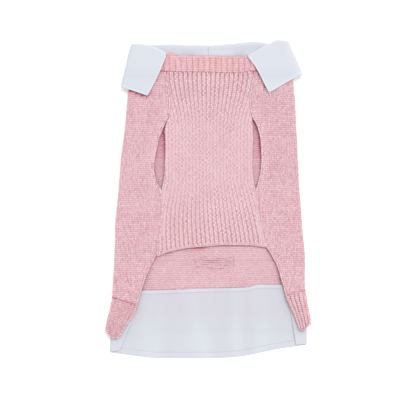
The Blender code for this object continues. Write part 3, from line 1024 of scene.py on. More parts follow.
def add_node(tree: bpy.types.NodeTree, kind: str, settings: dict[str, object],
             inputs: dict[int | str, object]) -> bpy.types.Node:
    """Adds a node to a material.

    Args:
        tree: The material's node tree.
        kind: The node's type name, without its ShaderNode prefix.
        settings: The node's own properties.
        inputs: A value for an input, or the output that it is linked from, by name or number.

    Returns:
        The new node.
    """
    node = tree.nodes.new("ShaderNode" + kind)
    for key, value in settings.items():
        setattr(node, key, value)
    feed(node, inputs)
    return node


@dataclass(frozen=True)
class WoolYarn:
    """Soft-spun wool and cotton yarn, dyed in the fibre.

    To the eye it is matt and a little fuzzy: it is heathered, because the yarn takes up paler
    and deeper fibres in turn, and its nap catches a soft light at the rims.
    """

    deep: str
    light: str
    core: str = "C4606F"  # painted shade deep in gaps, where only light that went through the wool arrives
    hollow: str = "7A2633"  # painted shade in the deepest folds between layers
    fleck: str = "FDEEF0"
    heather_mm: tuple[float, float, float] = (1.8, 1.3, 1.6)  # clumps of paler and deeper fibre
    heather: float = 0.15
    tone_mm: float = 26.0  # slow changes of tone along the yarn
    fibre_mm: float = 0.5  # single fibres are about 0.02 mm, too fine to show
    fibre_depth_mm: float = 0.25
    roughness: float = 0.95

    def material(self, name: str) -> bpy.types.Material:
        """Makes the yarn's material.

        Args:
            name: The material's name.

        Returns:
            The new material.
        """
        made, tree, shader = new_material(name)
        place = add_node(tree, "TexCoord", {}, {}).outputs["Object"]
        shade = add_node(tree, "Attribute", {"attribute_name": "shade"}, {}).outputs["Fac"]
        lit = add_node(tree, "MapRange", {}, {"Value": shade, "From Min": -3.0, "From Max": 1.0})
        tone = add_node(tree, "TexNoise", {}, {
            "Vector": place, "Scale": 1 / (self.tone_mm * MILLIMETRE), "Detail": 2.0})
        slow = add_node(tree, "MapRange", {}, {
            **NOISE_RANGE, "Value": tone.outputs["Fac"], "To Min": -0.02, "To Max": 0.02})
        stretched = add_node(tree, "VectorMath", {"operation": "MULTIPLY"}, {
            0: place, 1: tuple(1 / (size * MILLIMETRE) for size in self.heather_mm)})
        clumps = add_node(tree, "TexNoise", {}, {
            "Vector": stretched.outputs["Vector"], "Scale": 1.0, "Detail": 2.0, "Roughness": 0.6})
        heather = add_node(tree, "MapRange", {}, {
            **NOISE_RANGE, "Value": clumps.outputs["Fac"], "To Min": -self.heather / 2,
            "To Max": self.heather / 2})
        tones = add_node(tree, "Math", {"operation": "ADD"}, {
            0: lit.outputs["Result"], 1: slow.outputs["Result"]})
        both = add_node(tree, "Math", {"operation": "ADD", "use_clamp": True}, {
            0: tones.outputs["Value"], 1: heather.outputs["Result"]})
        # The ramp turns the shade attribute into colour: hollow and core are painted shade in folds and
        # gaps, and deep to light spans the yarn's tone with the strands' painted light and shade.
        ramp = add_node(tree, "ValToRGB", {}, {"Fac": both.outputs["Value"]})
        stops = ramp.color_ramp.elements
        stops[0].color, stops[1].color = linear(self.hollow), linear(self.light)
        for spot, colour in ((0.25, self.core), (0.5, self.deep)):
            stops.new(spot).color = linear(colour)
        flecks = add_node(tree, "MapRange", {}, {
            "Value": clumps.outputs["Fac"], "From Min": 0.6, "From Max": 0.75, "To Max": 0.3})
        mixed = add_node(tree, "Mix", {"data_type": "RGBA"}, {
            "Factor": flecks.outputs["Result"], 6: ramp.outputs["Color"], 7: linear(self.fleck)})
        fibres = add_node(tree, "TexNoise", {}, {
            "Vector": place, "Scale": 1 / (self.fibre_mm * MILLIMETRE), "Detail": 4.0})
        bump = add_node(tree, "Bump", {}, {
            "Strength": 0.5, "Distance": self.fibre_depth_mm * MILLIMETRE,
            "Height": fibres.outputs["Fac"]})
        feed(shader, {
            "Base Color": mixed.outputs[2], "Normal": bump.outputs["Normal"],
            "Roughness": self.roughness, "Specular IOR Level": 0.2, "Sheen Weight": 0.25,
            "Sheen Roughness": 0.5, "Sheen Tint": linear("F6DADE")})
        return made


# Spacing of a wave texture's bands at a scale of 1.
WAVE_BAND = np.pi / 10


@dataclass(frozen=True)
class Poplin:
    """Close plain-woven white shirt cotton, optically brightened and pressed.

    To the eye it is an even cool white with a faint grain and no gloss, and where a pink layer
    lies under it, the cloth lets a little of that colour through. The tint attribute mixes towards
    that colour, and it also carries painted shade on the collar's inner stand and painted shade and
    light in soft bands on the tail, where a negative tint mixes towards a lighter colour.
    """

    white: str
    through: str = "D6CED9"
    doubled: str = "D9DFE7"
    thread_mm: float = 0.8  # the real spacing is about 0.2 mm, too fine to show
    rumple_mm: tuple[float, float, float] = (11.0, 11.0, 11.0)
    rumple: float = 0.35
    rumple_depth_mm: float = 0.6
    thread_depth_mm: float = 0.05
    # Lightness rises with the rumples' height: a random tone that is also painted light on their crowns and
    # painted shade in their hollows.
    uneven: tuple[float, float] = (0.972, 1.015)
    roughness: float = 0.8

    def material(self, name: str) -> bpy.types.Material:
        """Makes the cotton's material.

        Args:
            name: The material's name.

        Returns:
            The new material.
        """
        made, tree, shader = new_material(name)
        place = add_node(tree, "TexCoord", {}, {}).outputs["Object"]
        under = add_node(tree, "Attribute", {"attribute_name": "tint"}, {}).outputs["Fac"]
        over = add_node(tree, "Math", {"operation": "MULTIPLY", "use_clamp": True}, {0: under, 1: -1.0})
        plain = add_node(tree, "Mix", {"data_type": "RGBA"}, {
            "Factor": over.outputs["Value"], 6: linear(self.white), 7: linear(self.doubled)})
        base = add_node(tree, "Mix", {"data_type": "RGBA"}, {
            "Factor": under, 6: plain.outputs[2], 7: linear(self.through)})
        stretched = add_node(tree, "VectorMath", {"operation": "MULTIPLY"}, {
            0: place, 1: tuple(1 / (size * MILLIMETRE) for size in self.rumple_mm)})
        tone = add_node(tree, "TexNoise", {}, {
            "Vector": stretched.outputs["Vector"], "Scale": 1.0, "Detail": 3.0})
        slow = add_node(tree, "MapRange", {}, {
            **NOISE_RANGE, "Value": tone.outputs["Fac"], "To Min": self.uneven[0],
            "To Max": self.uneven[1]})
        toned = add_node(tree, "Mix", {"data_type": "RGBA", "blend_type": "MULTIPLY"}, {
            "Factor": 1.0, 6: base.outputs[2], 7: slow.outputs["Result"]})
        scale = WAVE_BAND / (self.thread_mm * MILLIMETRE)
        weave = [
            add_node(tree, "TexWave", {"bands_direction": way}, {
                "Vector": place, "Scale": scale, "Distortion": 0.6, "Detail": 1.0}).outputs["Fac"]
            for way in ("X", "Y")]
        threads = add_node(tree, "Math", {"operation": "ADD"}, {0: weave[0], 1: weave[1]})
        grain = add_node(tree, "Bump", {}, {
            "Strength": 0.25, "Distance": self.thread_depth_mm * MILLIMETRE,
            "Height": threads.outputs["Value"]})
        rumple = add_node(tree, "Bump", {}, {
            "Strength": self.rumple, "Distance": self.rumple_depth_mm * MILLIMETRE,
            "Height": tone.outputs["Fac"], "Normal": grain.outputs["Normal"]})
        feed(shader, {
            "Base Color": toned.outputs[2], "Normal": rumple.outputs["Normal"],
            "Roughness": self.roughness, "Specular IOR Level": 0.25, "Sheen Weight": 0.1})
        return made


@dataclass(frozen=True)
class Finishes:
    """The garment's materials, by what they are."""

    stockinette: bpy.types.Material
    rib: bpy.types.Material
    band: bpy.types.Material
    cuff: bpy.types.Material
    collar: bpy.types.Material
    tail: bpy.types.Material
    thread: bpy.types.Material


# --- Knitting -----------------------------------------------------------------------------------


@dataclass(frozen=True)
class Gauge:
    """The knit's stitch, measured on the flat cloth."""

    wale: float = 2.75
    course: float = 2.25
    sunk: float = 0.5  # the ground that the strands lie on is this far under the knit's face
    purl_sunk: float = 0.35  # and on the inside it is this far under the purl rows
    reach: float = 0.55  # half of a knit strand's length, as a share of the course
    apart: float = 0.225  # from a stitch's middle to its strands' middles, as a share of the wale
    slant: float = 0.15  # half of a strand's run across, as a share of the wale
    thick: float = 0.18  # half of a strand's width, as a share of the wale
    height: float = 0.42  # from a strand's axis to its top
    chain: float = 0.62  # half of a chain stitch's length, as a share of its step


GAUGE = Gauge()

# Where a rib's form is read, as shares of its pitch.
RIB_SHARES = np.array([0.0, 0.12, 0.3, 0.5, 0.7, 0.88])


def rib_profile(number: Array, flank: float = 0.3) -> Array:
    """Rise of a rib by its number, from 0 in its grooves to 1 past its flanks."""
    share = number - np.floor(number)
    return smooth(np.minimum(share, 1 - share) / flank)


def on_face(place: Array) -> Array:
    """How far a place is on the side with stitches, from 0 under the garment to 1 on its side folds."""
    return smooth((np.abs(place) - FOLD_LOW) / 0.25)


def spaced(start: float, stop: float, steps: int, rim: Sequence[float] = (0.004, 0.012, 0.025)) -> Array:
    """Even shares from start to stop, with closer ones at both ends for a rounded rim.

    Args:
        start: The first share.
        stop: The last one.
        steps: How many even steps.
        rim: Extra shares of the whole, counted from each end.

    Returns:
        The shares in order.
    """
    even = np.linspace(0.0, 1.0, steps + 1)
    extra = np.array(rim)
    clear = 1.3 * extra[-1]
    inner = even[(even > clear) & (even < 1 - clear)]
    return start + (stop - start) * np.concatenate([[0.0], extra, inner, 1 - extra[::-1], [1.0]])


def round_tube(wrap_steps: int, fold_steps: int, run_steps: int, rim: Sequence[float]) -> Array:
    """Places round the tube, from the edge of one wrap under the back to the edge of the other.

    Args:
        wrap_steps: How many steps across each wrap.
        fold_steps: How many round each side fold.
        run_steps: How many under the back.
        rim: Extra shares of a wrap, counted from its edge.

    Returns:
        The places in order.
    """
    inner = len(rim) + 1
    return np.unique(np.concatenate([
        spaced(-EDGE, -FOLD_HIGH, wrap_steps, rim)[:-inner],
        np.linspace(-FOLD_HIGH, -FOLD_LOW, fold_steps + 1),
        np.linspace(-FOLD_LOW, FOLD_LOW, run_steps + 1),
        np.linspace(FOLD_LOW, FOLD_HIGH, fold_steps + 1),
        spaced(FOLD_HIGH, EDGE, wrap_steps, rim)[inner:],
    ]))


def face_stitch(strands: Strands, u: Array, v: Array, wale: Array | float, level: Array | float,
                lean: Array | float = 0.0, shade: Array | float = 0.0, split: Array | float = 0.0) -> None:
    """Adds the two strands of each knit stitch, which open upwards like a V.

    Args:
        strands: What they are added to.
        u: The stitches' middles across.
        v: The stitches' middles along.
        wale: Width of their column.
        level: Height of the strands' axes above the surface.
        lean: Sideways travel of the column for each step along it.
        shade: Lightness added.
        split: How much lighter the right strand is, and deeper the left one.
    """
    reach = GAUGE.reach * GAUGE.course
    shade = shade + strands.random.normal(0.0, 0.25 * strands.shade, np.shape(u))
    for hand in (-1.0, 1.0):
        strands.add(
            u + hand * GAUGE.apart * wale, v, hand * GAUGE.slant * wale + lean * reach, reach,
            GAUGE.thick * wale, level, GAUGE.height, shade + hand * split)


def edge_chain(strands: Strands, u: Array, v: Array, width: float = 0.85, level: float = -0.4,
               shade: float = -0.05) -> None:
    """Adds a chain of stitches along a line of evenly spaced points, as at a selvage.

    Args:
        strands: What they are added to.
        u: The line's points across.
        v: The line's points along.
        width: Half width of the chain.
        level: Height of its axis above the surface.
        shade: Lightness added.
    """
    step_u, step_v = np.gradient(u), np.gradient(v)
    strands.add(u, v, step_u * GAUGE.chain, step_v * GAUGE.chain, width, level, 0.45, shade)


@dataclass
class BackPanel:
    """The stockinette back, with the wraps that it makes on the belly side."""

    lay: Lay
    finishes: Finishes
    fold_steps: int = 10
    run_steps: int = 44
    wrap_steps: int = 14
    rows: int = 64
    label_mm: tuple[float, float, float, float] = (-15.0, 28.0, -75.5, -63.4)  # its sides in X, then in Y
    speckle: float = 0.25  # how much a stitch's two strands differ in lightness
    wrap_y: tuple[float, float] = (-120.0, 146.0)  # where the wraps' courses start and stop
    inside_x: tuple[float, float] = (-86.0, 92.0)
    inside_y: tuple[float, float] = (-105.0, 92.0)
    first_column: float = 0.45  # from the side fold's lowest line
    widest: float = 76.0  # and no wrap reaches further from it than this
    clear_edge: float = 2.2  # room for the chain along a wrap's edge
    clear_neck: float = 1.2
    clear_hem: float = 1.5
    pull_stitch: float = 2.0

    def ground(self) -> bpy.types.Object:
        """Makes the shell that the stitches lie on.

        Returns:
            The new object.
        """
        places = round_tube(self.wrap_steps, self.fold_steps, self.run_steps, (0.008, 0.02, 0.04))
        rows = spaced(0.0, 1.0, self.rows, (0.0012, 0.003, 0.006))
        place = np.broadcast_to(places, (len(rows), len(places)))
        top = self.lay.neck.seam(travel(place)) - CLOTH.seam_gap / 2
        bottom = self.lay.hem.seam(travel(place)) + CLOTH.seam_gap / 2
        y = top + (bottom - top) * rows[:, None]
        point, normal = self.lay.knit_ring(place, y)
        face = on_face(place)
        shell = Shell(
            "back_panel_ground", point, normal, low=GAUGE.purl_sunk * (1 - face),
            high=CLOTH.knit - GAUGE.sunk * face, rim=CLOTH.knit_rim,
            values={"shade": self.ground_shade(point, face)})
        return shell.build(self.finishes.stockinette, Slot.STOCKINETTE)

    def label(self, x: Array, y: Array) -> tuple[Array, Array]:
        """Reads points against the outline of the sewn-on blank label.

        Args:
            x: Where to read, across.
            y: Where to read, along.

        Returns:
            How far they are within it, and how near they are to its edge.
        """
        low_x, high_x, low_y, high_y = self.label_mm
        outside = np.maximum(np.maximum(low_x - x, x - high_x), np.maximum(low_y - y, y - high_y))
        return smooth(-outside / 2.5), bell(outside, 0.9)

    def ground_shade(self, point: Array, face: Array) -> Array:
        """Lightness of the ground: painted shade between stitches, beside the collar and in openings, a
        little deeper by the label.

        Args:
            point: Points of the ground.
            face: How far they are on the side with stitches.

        Returns:
            The lightness there.
        """
        within, _ = self.label(point[..., 0], point[..., 1])
        hidden = self.hidden(point[..., 0], point[..., 1]) * (1 - face)
        shaded = beside_collar(point) * face
        return -0.75 - 0.35 * face - 0.05 * within * (1 - face) - 0.6 * hidden - 1.8 * shaded

    def wrap(self, side: Side) -> bpy.types.Object:
        """Makes the stitches of one wrap, from under its side fold to its edge.

        Args:
            side: Which wrap.

        Returns:
            The new object.
        """
        lay, strands = self.lay, Strands(11 + side.index, 0.36)
        courses = np.arange(*self.wrap_y, GAUGE.course)
        columns = np.arange(self.first_column, self.widest, GAUGE.wale)
        u, v = (grid.ravel() for grid in np.meshgrid(columns, courses))
        drawn = np.repeat(strands.random.normal(0.0, 0.1, len(courses)), len(columns))
        drawn += 0.1 * strands.random.normal(0.0, 1.0, u.shape)
        # The courses run in slow waves, as they do in knit that was washed and laid down by hand.
        v = v + 0.35 * np.sin(u / 9.0 + v / 31.0) + 0.3 * np.sin(v / 17.0 + u / 23.0)
        at = travel(lay.place_on_skin(side, u, v))
        arc, across, _ = lay.spans(side, v)
        kept = u < arc + across - self.clear_edge
        kept &= (v < lay.neck.seam(at) - self.clear_neck) & (v > lay.hem.seam(at) + self.clear_hem)
        u, v, drawn = u[kept], v[kept], drawn[kept]
        point, _ = lay.skin(side)(u, v)
        by_slit = bell((arc + across)[kept] - u, 7.0) * smooth(v / 20.0) * smooth((120.0 - v) / 20.0)
        # Lighter near the slits' edges, with the collar's painted shadow beside its wings.
        face_stitch(strands, u, v, GAUGE.wale, -0.5,
                    shade=0.17 + drawn + 0.65 * by_slit - 2.2 * beside_collar(point),
                    split=strands.random.normal(0.0, self.speckle, u.shape))
        end = travel(side.value * EDGE)
        v = np.arange(lay.hem.seam(end) + 1.2, lay.neck.seam(end) - 1.0, GAUGE.course)
        arc, across, _ = lay.spans(side, v)
        edge_chain(strands, arc + across - 1.05, v)
        name = f"wrap_stitches_{side.name.lower()}"
        return strands.build(name, lay.skin(side), self.finishes.stockinette, Slot.STOCKINETTE,
                             mirrored=side is Side.RIGHT)

    def seen_inside(self, x: Array, y: Array) -> Array:
        """Finds the part of the inside that shows in the leg slits and in the rear opening.

        Args:
            x: Where to read, across.
            y: Where to read, along.

        Returns:
            Whether each point is in them, or just under their edges.
        """
        line = self.lay.outline
        left, right = line.left_edge(y), line.right_edge(y)
        belly_left, belly_right = self.lay.belly_sides(y)
        in_slit = (np.maximum(line.left_slit(y), line.right_slit(y)) > 0.3) & (
            ((x > left - 5) & (x < belly_left + 4)) | ((x < right + 5) & (x > belly_right - 4)))
        return in_slit | ((y < -46) & (x > left - 6) & (x < right + 6))

    def inside(self) -> bpy.types.Object:
        """Makes the purl side's rows where the back shows from inside, with a label's outline in them.

        Returns:
            The new object.
        """
        lay, strands = self.lay, Strands(13, 0.1, tips=0.1)
        courses = np.arange(*self.inside_y, GAUGE.course)
        columns = np.arange(*self.inside_x, GAUGE.wale)
        x, y = np.meshgrid(columns, courses)
        x = x + np.where(np.arange(len(courses)) % 2, 0.5 * GAUGE.wale, 0.0)[:, None]
        uneven = np.repeat(strands.random.normal(0.0, 0.13, len(courses)), len(columns))
        x, y = x.ravel(), y.ravel()
        kept = self.seen_inside(x, y) & (y > lay.hem.seam(travel(place_at(x))) + self.clear_hem)
        x, y, uneven = x[kept], y[kept], uneven[kept]
        # The label's left end draws the rows up a little.
        low_x, _, low_y, high_y = self.label_mm
        within, pressed = self.label(x, y)
        drawn = bell(x - low_x - 2.0, 7.0) * bell(y - (low_y + high_y) / 2, 6.0)
        y = y + 0.3 * np.sin(x / 21.0 + 0.6) + 0.3 * np.sin(x / 9.0 + y / 6.0) + 1.4 * drawn
        # The rows are darker along the label's outline and lighter within it, and take the painted shade of
        # the openings.
        shade = strands.random.normal(-0.24, 0.08, x.shape) + uneven - 0.2 * pressed + 0.12 * within
        strands.add(x, y, 0.68 * GAUGE.wale, 0.0, (0.28 - 0.03 * within) * GAUGE.course,
                    -0.3 + 0.1 * within, 0.4, shade - self.hidden(x, y))
        for pull in LABEL_PULLS:
            run_x, run_y = pull.x1 - pull.x0, pull.y1 - pull.y0
            count = round(np.hypot(run_x, run_y) / self.pull_stitch)
            share, half = (np.arange(count) + 0.5) / count, 0.55 / count
            strands.add(pull.x0 + run_x * share, pull.y0 + run_y * share, run_x * half, run_y * half,
                        0.36, 0.0, 0.2, -1.3)
        return strands.build("inside_purl_rows", lay.inside, self.finishes.stockinette, Slot.STOCKINETTE)

    def hidden(self, x: Array, y: Array) -> Array:
        """How much painted shade the inside gets in the leg slits and close under the edges above it.

        Args:
            x: Where to read, across.
            y: Where to read, along.

        Returns:
            What is taken from the lightness there.
        """
        line = self.lay.outline
        left, right = line.left_edge(y), line.right_edge(y)
        belly_left, _ = self.lay.belly_sides(y)
        in_slit = (y > 0) * smooth((np.abs(x) - 40.0) / 4.0)
        # In the slits the shade gathers under the edges, and it deepens towards the neck.
        up_left, up_right = smooth((y - 25.0) / 45.0), smooth((y - 20.0) / 45.0)
        edges = bell(x - belly_left, 1.4) * (0.5 + 0.9 * up_left)
        edges = edges + bell(x - right, 1.5) * (0.3 + 1.5 * up_right) + 0.3 * bell(x - left, 1.5)
        # Below the belly's rolled edge the painted shade is a thin line, broader where the edge stands up a
        # little.
        gap = 1.1 + 0.9 * bell(x + 8.0, 9.0)
        in_rear = (y <= 0) * bell(y - self.lay.belly_hem.y(x), gap) * (0.2 + 1.1 * gap)
        in_rear = np.maximum(in_rear, (y < -50) * bell(np.minimum(x - left, right - x), 1.2))
        return in_slit * (0.35 * up_right + 0.25 * (x < 0) + 1.3 * edges) + 1.1 * in_rear

    def build(self) -> list[bpy.types.Object]:
        """Returns:
            The panel's pieces, the ground first.
        """
        ground = self.ground()
        parts = [self.wrap(Side.LEFT), self.wrap(Side.RIGHT), self.inside()]
        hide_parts("back_panel")
        return [ground, *parts]


@dataclass
class BellyPanel:
    """The 1x1 rib panel between the wraps, open to them at the two leg slits."""

    lay: Lay
    finishes: Finishes
    ribs_left: int = 13
    ribs_right: int = 14
    run_out: float = 0.36
    hem_roll: float = 3.0
    hem_thinning: float = 0.6
    speckle: float = 0.36  # how much a stitch's two strands differ in lightness
    rows: int = 88

    def x_of(self, number: Array, y: Array) -> tuple[Array, Array]:
        """Reads a column of the panel.

        Args:
            number: Its number in ribs from the middle groove.
            y: Y to read at.

        Returns:
            X there, and the share of its rib that the panel's edges leave.
        """
        left, right = self.lay.belly_sides(y)
        middle, pitch = self.lay.ribs.middle(y), self.lay.ribs.pitch(y)
        x = np.maximum(middle + number * pitch, left + (number + self.ribs_left) * self.run_out)
        x = np.minimum(x, right - (self.ribs_right - number) * self.run_out)
        rib = np.floor(number)
        open_left, open_right = (middle - left) / pitch + rib + 1, (right - middle) / pitch - rib
        return x, np.clip(np.minimum(open_left, open_right), 0.0, 1.0)

    def y_of(self, number: Array, row: Array) -> Array:
        """Reads the panel's length.

        Args:
            number: A column's number in ribs.
            row: A share of the length, from the neck seam down.

        Returns:
            Y there.
        """
        neck_y, hem_y = NECK_ROWS[0].seam, BELLY_HEM_ROWS[-1].y
        top = self.lay.front_seam(self.x_of(number, neck_y)[0], neck_y) - CLOTH.seam_gap / 2
        bottom = self.lay.belly_hem.y(self.x_of(number, hem_y)[0])
        return top + (bottom - top) * row

    def relief(self, number: Array, y: Array) -> Array:
        """Height of the ribs' relief.

        Args:
            number: A column's number in ribs.
            y: Y to read at.

        Returns:
            The height there.
        """
        x, open_share = self.x_of(number, y)
        roll = smooth((y - self.lay.belly_hem.y(x) - 1.0) / self.hem_roll)
        return CLOTH.rib_relief * rib_profile(number) * open_share * self.lay.ribs.relief(y) * roll

    def ground(self) -> bpy.types.Object:
        """Makes the shell that the stitches lie on, with the ribs' form.

        Returns:
            The new object.
        """
        ribs = np.arange(-self.ribs_left, self.ribs_right)[:, None] + RIB_SHARES
        numbers = np.append(ribs.ravel(), self.ribs_right)
        rows = spaced(0.0, 1.0, self.rows // 2, (0.0015, 0.004, 0.009, 0.014))
        number = np.broadcast_to(numbers, (len(rows), len(numbers)))
        y = self.y_of(number, rows[:, None])
        x, _ = self.x_of(number, y)
        point, normal = facing_up(x, y, self.lay.underside(x, y))
        thinned = self.hem_thinning * (1 - smooth((y - self.lay.belly_hem.y(x)) / 2.5))
        high = CLOTH.knit - GAUGE.sunk - thinned + self.relief(number, y)
        # Painted shade: the ground between stitches is deep, deeper in the grooves where the ribs stand
        # high, and deeper again at the grooves' ends.
        groove = 1 - rib_profile(number, 0.25)
        from_hem, from_neck = y - self.lay.belly_hem.y(x) - 3.0, self.y_of(number, 0 * y) - 2.0 - y
        ends = bell(from_hem - 0.6) + bell(from_neck - 0.6)
        shade = -0.45 - (0.8 * self.lay.ribs.relief(y) + 0.9 * ends) * groove * (from_hem > 0)
        shell = Shell("belly_panel_ground", point, normal, low=0.0, high=high, rim=CLOTH.knit_rim,
                      values={"shade": shade})
        return shell.build(self.finishes.rib, Slot.RIB)

    def stitches(self) -> bpy.types.Object:
        """Makes the raised knit columns, the purl rows in the grooves and the chains along the edges.

        Returns:
            The new object.
        """
        strands = Strands(21, 0.18, tips=0.7)
        numbers = np.arange(-self.ribs_left, self.ribs_right) + 0.5
        rows = (np.arange(self.rows) + 0.5) / self.rows
        number, row = (grid.ravel() for grid in np.meshgrid(numbers, rows))
        speckle = strands.random.normal(0.0, self.speckle, (len(rows), len(numbers)))
        speckle = (speckle - (np.roll(speckle, 1, 0) + np.roll(speckle, -1, 0)) / 2).ravel()
        y = self.y_of(number, row)
        x, share = self.x_of(number, y)
        lean = (self.x_of(number, y + 1.0)[0] - self.x_of(number, y - 1.0)[0]) / 2
        pitch = self.lay.ribs.pitch(y)
        clear = y > self.lay.belly_hem.y(x) + 3.0
        left, right = self.lay.belly_sides(y)
        kept = (share > 0.45) & clear & (x > left + 2.3) & (x < right - 2.3)
        wale = np.clip(0.88 * pitch * share, 1.2, 4.4)
        raised = self.relief(number, y)
        face_stitch(strands, x[kept], y[kept], wale[kept], (raised - 0.5)[kept], lean[kept],
                    0.15, speckle[kept])
        groove = number - 0.5
        x, share = self.x_of(groove, y)
        kept = (share > 0.3) & clear & (x > left + 2.2) & (x < right - 2.2)
        # The purl rows in the grooves get a little painted shade where the ribs stand higher.
        depth = self.lay.ribs.relief(y)[kept]
        strands.add(x[kept], y[kept] + 0.5 * GAUGE.course, 0.16 * pitch[kept], 0.0, 0.22 * GAUGE.course,
                    -0.35 - 0.3 * depth, 0.38, 0.1 - 0.1 * depth)
        self.edges(strands)
        return strands.build("belly_stitches", self.lay.top, self.finishes.rib, Slot.RIB)

    def edges(self, strands: Strands) -> None:
        """Adds the chains along both sides and the rolled cast-on edge at the hem.

        Args:
            strands: What they are added to.
        """
        y = np.arange(-60.0, 136.0, GAUGE.course)
        left, right = self.lay.belly_sides(y)
        for line, hem in ((left + 0.95, BELLY_HEM_ROWS[0].y), (right - 0.95, BELLY_HEM_ROWS[-1].y)):
            at, line = y[y > hem + 3.0], line[y > hem + 3.0]
            # Along the left slit the chain on the belly's edge gets painted shade.
            by_slit = (line < 0) * smooth((at - 12.0) / 12.0) * smooth((86.0 - at) / 8.0)
            edge_chain(strands, line, at, shade=-0.1 - 0.5 * by_slit)
        outline = self.lay.outline
        for seam, slit in ((outline.left_edge(y), outline.left_slit(y)),
                           (outline.right_edge(y), outline.right_slit(y))):
            sewn = (slit < np.where(y < 50.0, 1.5, 0.3)) & (y > self.lay.belly_hem.y(seam) + 1.0)
            drawn = smooth((y[sewn] - 60.0) / 30.0)
            # The seams get deeper towards the neck, and a dark dash of painted shade marks where each slit's
            # crack runs on above it.
            strands.add(seam[sewn], y[sewn], 0.0, 1.3, 0.7, -0.45 - 0.2 * drawn, 0.4,
                        -0.1 - 0.3 * drawn - 1.4 * bell(y[sewn] - 91.5, 3.5))
        left, right = self.lay.belly_sides(np.array(BELLY_HEM_ROWS[-1].y))
        x = np.arange(float(left) + 0.8, float(right) - 0.6, GAUGE.course)
        hem = self.lay.belly_hem.y(x)
        edge_chain(strands, x, hem + 0.85, width=0.9, level=-0.85 - 0.3 * self.hem_thinning, shade=0.0)
        edge_chain(strands, x + 0.5 * GAUGE.course, hem + 2.2, width=0.95, level=-0.5, shade=0.05)

    def build(self) -> list[bpy.types.Object]:
        """Returns:
            The panel's pieces, the ground first.
        """
        ground, stitches = self.ground(), self.stitches()
        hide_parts("belly_panel")
        return [ground, stitches]


